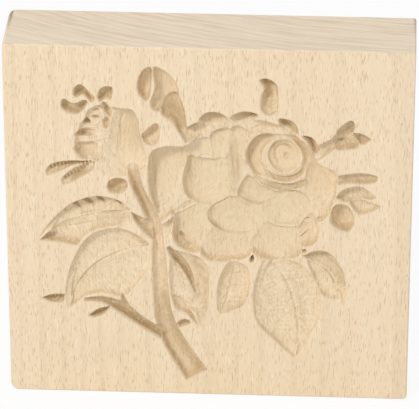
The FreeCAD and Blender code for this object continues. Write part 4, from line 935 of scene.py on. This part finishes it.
def storeMarks(mesh, face):
    # Keeps at each vertex how proud the carving stands there, how deep it is and its tone of painted shade,
    # painted highlight and end grain.
    proud = blurred(face.depth, 1.5) - blurred(face.depth, 0.5)
    proud *= np.clip(face.depth / 0.1, 0, 1)
    places, step = placesOf(mesh), carving["step"]
    u, v = places[:, 0] * 1000, places[:, 2] * 1000 - blockHeight / 2
    i = np.clip(((u - face.us[0]) / step + 0.5).astype(int), 0, len(face.us) - 1)
    j = np.clip(((v - face.vs[0]) / step + 0.5).astype(int), 0, len(face.vs) - 1)
    onFace = places[:, 1] < frontY + carving["marksWithin"] / 1000
    for name, grid in (("proud", proud), ("cutDepth", face.depth), ("cutTone", face.tone)):
        values = np.where(onFace, grid[j, i], 0.0).astype(np.float32)
        mesh.attributes.new(name, "FLOAT", "POINT").data.foreach_set("value", values)


def buildBlock(face):
    bm = outerShell()
    setFace(bm, face)
    mesh = bpy.data.meshes.new("carvedBlock")
    bm.to_mesh(mesh)
    bm.free()
    block = bpy.data.objects.new("carvedBlock", mesh)
    scene.collection.objects.link(block)
    thinOut(block)
    smoothShading(block)
    storeMarks(block.data, face)
    return block


def newGroup(name, inputs, outputs):
    # An empty shader group with the sockets asked for.
    group = bpy.data.node_groups.new(name, "ShaderNodeTree")
    for kind, label in inputs:
        group.interface.new_socket(name=label, in_out="INPUT", socket_type=kind)
    for kind, label in outputs:
        group.interface.new_socket(name=label, in_out="OUTPUT", socket_type=kind)
    return group, group.nodes.new("NodeGroupInput"), group.nodes.new("NodeGroupOutput")


def noiseNode(tree, vector, scale, detail=2.0, roughness=0.5):
    node = tree.nodes.new("ShaderNodeTexNoise")
    node.inputs["Scale"].default_value = scale
    node.inputs["Detail"].default_value = detail
    node.inputs["Roughness"].default_value = roughness
    tree.links.new(vector, node.inputs["Vector"])
    return node.outputs["Fac"]


def stretched(tree, vector, x, y, z):
    # Coordinates multiplied axis by axis.
    node = tree.nodes.new("ShaderNodeVectorMath")
    node.operation = "MULTIPLY"
    tree.links.new(vector, node.inputs[0])
    node.inputs[1].default_value = (x, y, z)
    return node.outputs["Vector"]


def turned(tree, vector, degrees):
    node = tree.nodes.new("ShaderNodeVectorRotate")
    node.rotation_type = "Y_AXIS"
    node.inputs["Angle"].default_value = math.radians(degrees)
    tree.links.new(vector, node.inputs["Vector"])
    return node.outputs["Vector"]


def parted(tree, vector):
    # The X, Y and Z of a vector.
    node = tree.nodes.new("ShaderNodeSeparateXYZ")
    tree.links.new(vector, node.inputs[0])
    return node.outputs


def stored(tree, name):
    # A value that the mesh keeps at each vertex.
    node = tree.nodes.new("ShaderNodeAttribute")
    node.attribute_name = name
    return node.outputs["Fac"]


def maths(tree, operation, *values, clamp=False):
    node = tree.nodes.new("ShaderNodeMath")
    node.operation = operation
    node.use_clamp = clamp
    for place, value in enumerate(values):
        if isinstance(value, (int, float)):
            node.inputs[place].default_value = value
        else:
            tree.links.new(value, node.inputs[place])
    return node.outputs[0]


def times(tree, first, second):
    return maths(tree, "MULTIPLY", first, second)


def ramp(tree, value, low, high, start=0.0, end=1.0):
    node = tree.nodes.new("ShaderNodeMapRange")
    node.interpolation_type = "SMOOTHSTEP"
    tree.links.new(value, node.inputs["Value"])
    for label, number in (("From Min", low), ("From Max", high), ("To Min", start), ("To Max", end)):
        node.inputs[label].default_value = number
    return node.outputs["Result"]


def mixColour(tree, factor, first, second):
    node = tree.nodes.new("ShaderNodeMix")
    node.data_type = "RGBA"
    for place, value in ((0, factor), (6, first), (7, second)):  # the sockets for factor and colours
        if isinstance(value, tuple):
            node.inputs[place].default_value = value
        else:
            tree.links.new(value, node.inputs[place])
    return node.outputs[2]


# The grain of a flat-sawn board. Scales are cells in each metre, across, inwards and along.
beechGrain = {
    "ringHeart": (0.085, 0.250),  # the tree's middle lies this far to the right and behind, in metres
    "ringWobble": 0.005, "wobbleScale": 30, "ringsPerMetre": 480,
    "endStreaks": (1250, 16, 25),  # along the radius, round it and along the board
    "flecks": (3900, 80, 470), "paleFlecks": (2600, 60, 300), "streaks": (1500, 1500, 45),
    "bands": (120, 60, 7), "pores": (5200, 5200, 900),
    "fleckScatter": 260,  # where flecks lie closer together and where further apart
    "strokes": (620, 620, 2300), "strokeTurns": (38, -52), "strokePatches": 120,
}


def beechGrainGroup():
    # Masks of the grain from object coordinates, with the board's length along Z.
    labels = ("Rings", "EndStreaks", "Flecks", "Bright", "Streaks", "Bands", "Pores", "Strokes")
    group, enter, leave = newGroup("beechGrain", [("NodeSocketVector", "Point")],
                                   [("NodeSocketFloat", label) for label in labels])
    point = enter.outputs["Point"]

    def speckle(name, detail, roughness):
        return noiseNode(group, stretched(group, point, *beechGrain[name]), 1.0, detail, roughness)

    # Rings lie round a heart far behind and to the right of the board.
    place = parted(group, point)
    heartX, heartY = beechGrain["ringHeart"]
    dx, dy = maths(group, "SUBTRACT", place["X"], heartX), maths(group, "SUBTRACT", place["Y"], heartY)
    radius = maths(group, "SQRT", maths(group, "ADD", times(group, dx, dx), times(group, dy, dy)))
    wobble = noiseNode(group, stretched(group, point, 1, 1, 0.12), beechGrain["wobbleScale"])
    bent = maths(group, "MULTIPLY_ADD", wobble, beechGrain["ringWobble"], radius)
    phase = maths(group, "FRACT", times(group, bent, beechGrain["ringsPerMetre"]))
    rings = times(group, ramp(group, phase, 0.55, 0.97), ramp(group, phase, 0.97, 1.0, 1.0, 0.0))
    # On the ends the rings break up into uneven streaks that follow them.
    polar = group.nodes.new("ShaderNodeCombineXYZ")
    around = maths(group, "ARCTAN2", dy, dx)
    for label, value, scale in zip("XYZ", (bent, around, place["Z"]), beechGrain["endStreaks"]):
        group.links.new(times(group, value, scale), polar.inputs[label])
    endStreaks = noiseNode(group, polar.outputs[0], 1.0, 4, 0.68)
    # Rays are thin sheets that run inwards: short dashes on the face, lines on the ends.
    scatter = noiseNode(group, stretched(group, point, 1, 0.4, 0.5), beechGrain["fleckScatter"], 1)
    uneven = maths(group, "MULTIPLY_ADD", maths(group, "SUBTRACT", scatter, 0.5), 0.10,
                   speckle("flecks", 1, 0.4))
    flecks = ramp(group, uneven, 0.58, 0.70)
    bright = ramp(group, speckle("paleFlecks", 1, 0.4), 0.62, 0.72)
    streaks, bands = speckle("streaks", 3, 0.6), speckle("bands", 2, 0.5)
    pores = speckle("pores", 1, 0.5)
    # Knife strokes lean one way in some places and the other way in the rest.
    leftward, rightward = (
        noiseNode(group, stretched(group, turned(group, point, turn), *beechGrain["strokes"]), 1.0, 1)
        for turn in beechGrain["strokeTurns"])
    either = ramp(group, noiseNode(group, point, beechGrain["strokePatches"], 1), 0.46, 0.54)
    strokes = maths(group, "ADD", times(group, leftward, either),
                    times(group, rightward, maths(group, "SUBTRACT", 1.0, either)))
    for label, value in zip(labels, (rings, endStreaks, flecks, bright, streaks, bands, pores, strokes)):
        group.links.new(value, leave.inputs[label])
    return group


beechLook = {
    "pale": (0.880, 0.722, 0.512, 1),
    "warm": (0.868, 0.700, 0.482, 1),
    "pink": (0.825, 0.650, 0.455, 1), "pinkShare": 0.35,
    "endGrain": (0.950, 0.820, 0.650, 1), "endShare": 0.75,
    "endMargin": 0.001,  # end grain shows this close to the top and the bottom
    "endDark": (0.640, 0.490, 0.330, 1), "endStreakShare": 0.44, "poreShare": 0.22,
    "fleck": (0.520, 0.345, 0.185, 1), "fleckShare": 0.50, "ringShare": 0.10,
    "sideFlecks": 0.32,  # what is left of the flecks on the narrow sides
    # The pale of the rays in the grain, also laid as a painted highlight on ridges and rims.
    "paleFleckAndHighlight": (0.960, 0.835, 0.650, 1), "brightShare": 0.45,
    # Painted shade: the tint laid on the cut floors, more on the deeper ones, and along the foot of each
    # wall.
    "hollowShade": (0.740, 0.575, 0.350, 1), "floorShadeShare": 0.20, "deepShadeShare": 0.42,
    "footShadeShare": 0.4,  # of the painted shade tint along the foot of each wall
    "ridgeHighlightShare": 0.7, "rimHighlightShare": 0.45,  # how strong the painted highlight on ridges and rims is
    "cutShade": (0.470, 0.335, 0.165, 1),
    "strokeDark": 0.20, "strokeLight": 0.34,  # knife strokes on the cut floors
    "roughness": 0.54, "streakRoughness": 0.16, "specular": 0.28,
    "bumpStrength": 0.35, "bumpHeight": 0.00006,
    "poreBump": 0.5, "streakBump": 0.5, "fleckBump": -0.35, "facetBump": 2.2, "strokeBump": 2.4,
    "facetScale": 1400,
}


def beechMaterial(grain):
    # Pale planed beech: bands, streaks and flecks on the face, rings on the ends, knife marks in the cuts,
    # and painted shade and highlights in the carving.
    look = beechLook
    material = bpy.data.materials.new("beech")
    material.use_nodes = True
    tree = material.node_tree
    shader = tree.nodes["Principled BSDF"]
    point = tree.nodes.new("ShaderNodeTexCoord").outputs["Object"]
    group = tree.nodes.new("ShaderNodeGroup")
    group.node_tree = grain
    tree.links.new(point, group.inputs["Point"])
    wood = group.outputs
    facing = parted(tree, tree.nodes.new("ShaderNodeNewGeometry").outputs["Normal"])
    depth, tone, proud = (stored(tree, name) for name in ("cutDepth", "cutTone", "proud"))
    colour = mixColour(tree, ramp(tree, wood["Bands"], 0.32, 0.68), look["pale"], look["warm"])

    def lay(mask, tint):
        nonlocal colour
        colour = mixColour(tree, mask, colour, look[tint])

    lay(times(tree, ramp(tree, wood["Streaks"], 0.3, 0.7), look["pinkShare"]), "pink")
    # End grain shows on the outer ends, and not on level walls inside the carving.
    fromMiddle = maths(tree, "SUBTRACT", parted(tree, point)["Z"], (blockLow.z + blockHigh.z) / 2)
    outside = maths(tree, "GREATER_THAN", maths(tree, "ABSOLUTE", fromMiddle),
                    (blockHigh.z - blockLow.z) / 2 - look["endMargin"])
    end = times(tree, ramp(tree, maths(tree, "ABSOLUTE", facing["Z"]), 0.45, 0.95), outside)
    lay(times(tree, end, look["endShare"]), "endGrain")
    lay(times(tree, wood["Rings"], look["ringShare"]), "fleck")
    for mask, share in ((ramp(tree, wood["EndStreaks"], 0.40, 0.66), look["endStreakShare"]),
                        (ramp(tree, wood["Pores"], 0.56, 0.70), look["poreShare"])):
        lay(times(tree, times(tree, mask, end), share), "endDark")
    share = look["brightShare"]
    lay(times(tree, wood["Bright"], maths(tree, "MULTIPLY_ADD", end, -share, share)), "paleFleckAndHighlight")
    # The rays lie flat in the narrow sides, where they show as faint broad patches.
    flecks = times(tree, wood["Flecks"], look["fleckShare"])
    flecks = times(tree, flecks, maths(tree, "MULTIPLY_ADD", end, -1.0, 1.0))
    sideways = ramp(tree, maths(tree, "ABSOLUTE", facing["X"]), 0.6, 0.9, 1.0, look["sideFlecks"])
    sideways = maths(tree, "MAXIMUM", sideways, ramp(tree, depth, 0.0, 0.1))
    lay(times(tree, flecks, sideways), "fleck")
    # Painted shade darkens the cut floors a little, the deeper ones more, and painted highlights pale the
    # rims and ridges.
    lay(ramp(tree, depth, 0.1, 1.8, 0.0, look["floorShadeShare"]), "hollowShade")
    lay(ramp(tree, depth, 2.0, 4.4, 0.0, look["deepShadeShare"]), "hollowShade")
    # Painted highlight on the ridges left standing.
    lay(ramp(tree, tone, -0.02, -0.30, 0.0, look["ridgeHighlightShare"]), "paleFleckAndHighlight")
    grained = maths(tree, "MULTIPLY_ADD", wood["Streaks"], 0.9, 0.5)
    # Painted shade from the stored tone: the shade strokes and the scored lines, together with the end grain
    # of cross-cut walls.
    lay(maths(tree, "MULTIPLY", tone, grained, clamp=True), "cutShade")
    # Painted highlight along the rims.
    lay(ramp(tree, proud, 0.03, 0.20, 0.0, look["rimHighlightShare"]), "paleFleckAndHighlight")
    # Painted shade along the foot of each wall.
    lay(ramp(tree, proud, -0.05, -0.3, 0.0, look["footShadeShare"]), "hollowShade")
    # Knife strokes cross the cut floors, here one way and there another, and fade in the deepest ones.
    carved = times(tree, ramp(tree, depth, 0.25, 0.9), ramp(tree, depth, 2.4, 3.0, 1.0, 0.5))
    lay(times(tree, ramp(tree, wood["Strokes"], 0.53, 0.70, 0.0, look["strokeDark"]), carved), "cutShade")
    lay(times(tree, ramp(tree, wood["Strokes"], 0.47, 0.32, 0.0, look["strokeLight"]), carved),
        "paleFleckAndHighlight")
    tree.links.new(colour, shader.inputs["Base Color"])
    rough = maths(tree, "MULTIPLY_ADD", wood["Streaks"], look["streakRoughness"], look["roughness"])
    tree.links.new(rough, shader.inputs["Roughness"])
    shader.inputs["Specular IOR Level"].default_value = look["specular"]

    # The gouge leaves small facets and torn fibres on the cut floors.
    height = maths(tree, "ADD", times(tree, wood["Pores"], look["poreBump"]),
                   times(tree, wood["Streaks"], look["streakBump"]))
    height = maths(tree, "MULTIPLY_ADD", wood["Flecks"], look["fleckBump"], height)
    facets = noiseNode(tree, stretched(tree, point, 1, 1, 0.6), look["facetScale"], 3, 0.6)
    for mark, share in ((facets, look["facetBump"]), (wood["Strokes"], look["strokeBump"])):
        height = maths(tree, "MULTIPLY_ADD", mark, times(tree, carved, share), height)
    bump = tree.nodes.new("ShaderNodeBump")
    bump.inputs["Strength"].default_value = look["bumpStrength"]
    bump.inputs["Distance"].default_value = look["bumpHeight"]
    tree.links.new(height, bump.inputs["Height"])
    tree.links.new(bump.outputs["Normal"], shader.inputs["Normal"])
    print("material", material.name, "with", len(tree.nodes), "nodes", flush=True)
    return material


cameraView = {"azimuth": 2.91, "elevation": 28.15, "distance": 0.922, "target": (0.00027, -0.010, 0.0545),
              "sensor": 36, "focalPixels": 3749, "framePixels": 419}


def addCamera():
    azimuth, elevation = math.radians(cameraView["azimuth"]), math.radians(cameraView["elevation"])
    back = Vector((math.sin(azimuth) * math.cos(elevation), -math.cos(azimuth) * math.cos(elevation),
                   math.sin(elevation)))
    data = bpy.data.cameras.new("camera")
    data.sensor_width = cameraView["sensor"]
    data.lens = cameraView["sensor"] * cameraView["focalPixels"] / cameraView["framePixels"]
    data.clip_start, data.clip_end = 0.05, 20
    camera = bpy.data.objects.new("camera", data)
    camera.location = Vector(cameraView["target"]) + back * cameraView["distance"]
    camera.rotation_euler = (-back).to_track_quat("-Z", "Y").to_euler()
    scene.collection.objects.link(camera)
    scene.camera = camera
    print("camera of", round(data.lens), "mm", flush=True)


stageLook = {
    "floorSize": 2.5, "paper": (0.93, 0.93, 0.93, 1), "paperRoughness": 0.9, "paperSpecular": 0.1,
    "whitening": 0.90,  # how far the camera sees the paper brightened towards white
    "backdropStrength": 1.0, "skyStrength": 0.64,
    "keyPower": 7.8, "keyPlace": (-0.62, -0.94, 0.98), "keySize": 0.26,
    "fillPower": 0.7, "fillPlace": (0.9, -0.9, 0.5), "fillSize": 0.9,
    "lampTarget": (0, 0, 0.05),
}


def addFloor():
    # A floor of pale paper. It looks nearly white to the camera, with the block's shadow on it.
    bm = bmesh.new()
    bmesh.ops.create_grid(bm, x_segments=1, y_segments=1, size=stageLook["floorSize"])
    mesh = bpy.data.meshes.new("floor")
    bm.to_mesh(mesh)
    bm.free()
    floor = bpy.data.objects.new("floor", mesh)
    scene.collection.objects.link(floor)
    material = bpy.data.materials.new("floorPaper")
    material.use_nodes = True
    tree = material.node_tree
    shader = tree.nodes["Principled BSDF"]
    shader.inputs["Base Color"].default_value = stageLook["paper"]
    shader.inputs["Roughness"].default_value = stageLook["paperRoughness"]
    shader.inputs["Specular IOR Level"].default_value = stageLook["paperSpecular"]
    path = tree.nodes.new("ShaderNodeLightPath")
    white = tree.nodes.new("ShaderNodeEmission")
    blend = tree.nodes.new("ShaderNodeMixShader")
    share = times(tree, path.outputs["Is Camera Ray"], stageLook["whitening"])
    for place, value in enumerate((share, shader.outputs[0], white.outputs[0])):
        tree.links.new(value, blend.inputs[place])
    tree.links.new(blend.outputs[0], tree.nodes["Material Output"].inputs["Surface"])
    mesh.materials.append(material)


def addSky():
    # An even white backdrop for the camera and a softer even light for the block.
    world = bpy.data.worlds.new("studio")
    scene.world = world
    world.use_nodes = True
    nodes, links = world.node_tree.nodes, world.node_tree.links
    nodes.clear()
    output = nodes.new("ShaderNodeOutputWorld")
    seen, lit = nodes.new("ShaderNodeBackground"), nodes.new("ShaderNodeBackground")
    for background, strength in ((seen, stageLook["backdropStrength"]), (lit, stageLook["skyStrength"])):
        background.inputs["Color"].default_value = (1, 1, 1, 1)
        background.inputs["Strength"].default_value = strength
    path = nodes.new("ShaderNodeLightPath")
    mix = nodes.new("ShaderNodeMixShader")
    for place, value in enumerate((path.outputs["Is Camera Ray"], lit.outputs[0], seen.outputs[0])):
        links.new(value, mix.inputs[place])
    links.new(mix.outputs[0], output.inputs["Surface"])


def addLamps():
    # A small lamp at the upper left models the carving, and a broad weak one lifts its shadows.
    for name in ("key", "fill"):
        data = bpy.data.lights.new(name, "AREA")
        data.shape = "DISK"
        data.size = stageLook[name + "Size"]
        data.energy = stageLook[name + "Power"]
        lamp = bpy.data.objects.new(name, data)
        lamp.location = stageLook[name + "Place"]
        aim = Vector(stageLook["lampTarget"]) - lamp.location
        lamp.rotation_euler = aim.to_track_quat("-Z", "Y").to_euler()
        scene.collection.objects.link(lamp)
    print("stage with floor, sky and lamps", flush=True)


block = buildBlock(carveFace())
block.data.materials.clear()
block.data.materials.append(beechMaterial(beechGrainGroup()))
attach(block, "root")
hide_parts("stamp_block")
addFloor()
addSky()
addLamps()
addCamera()
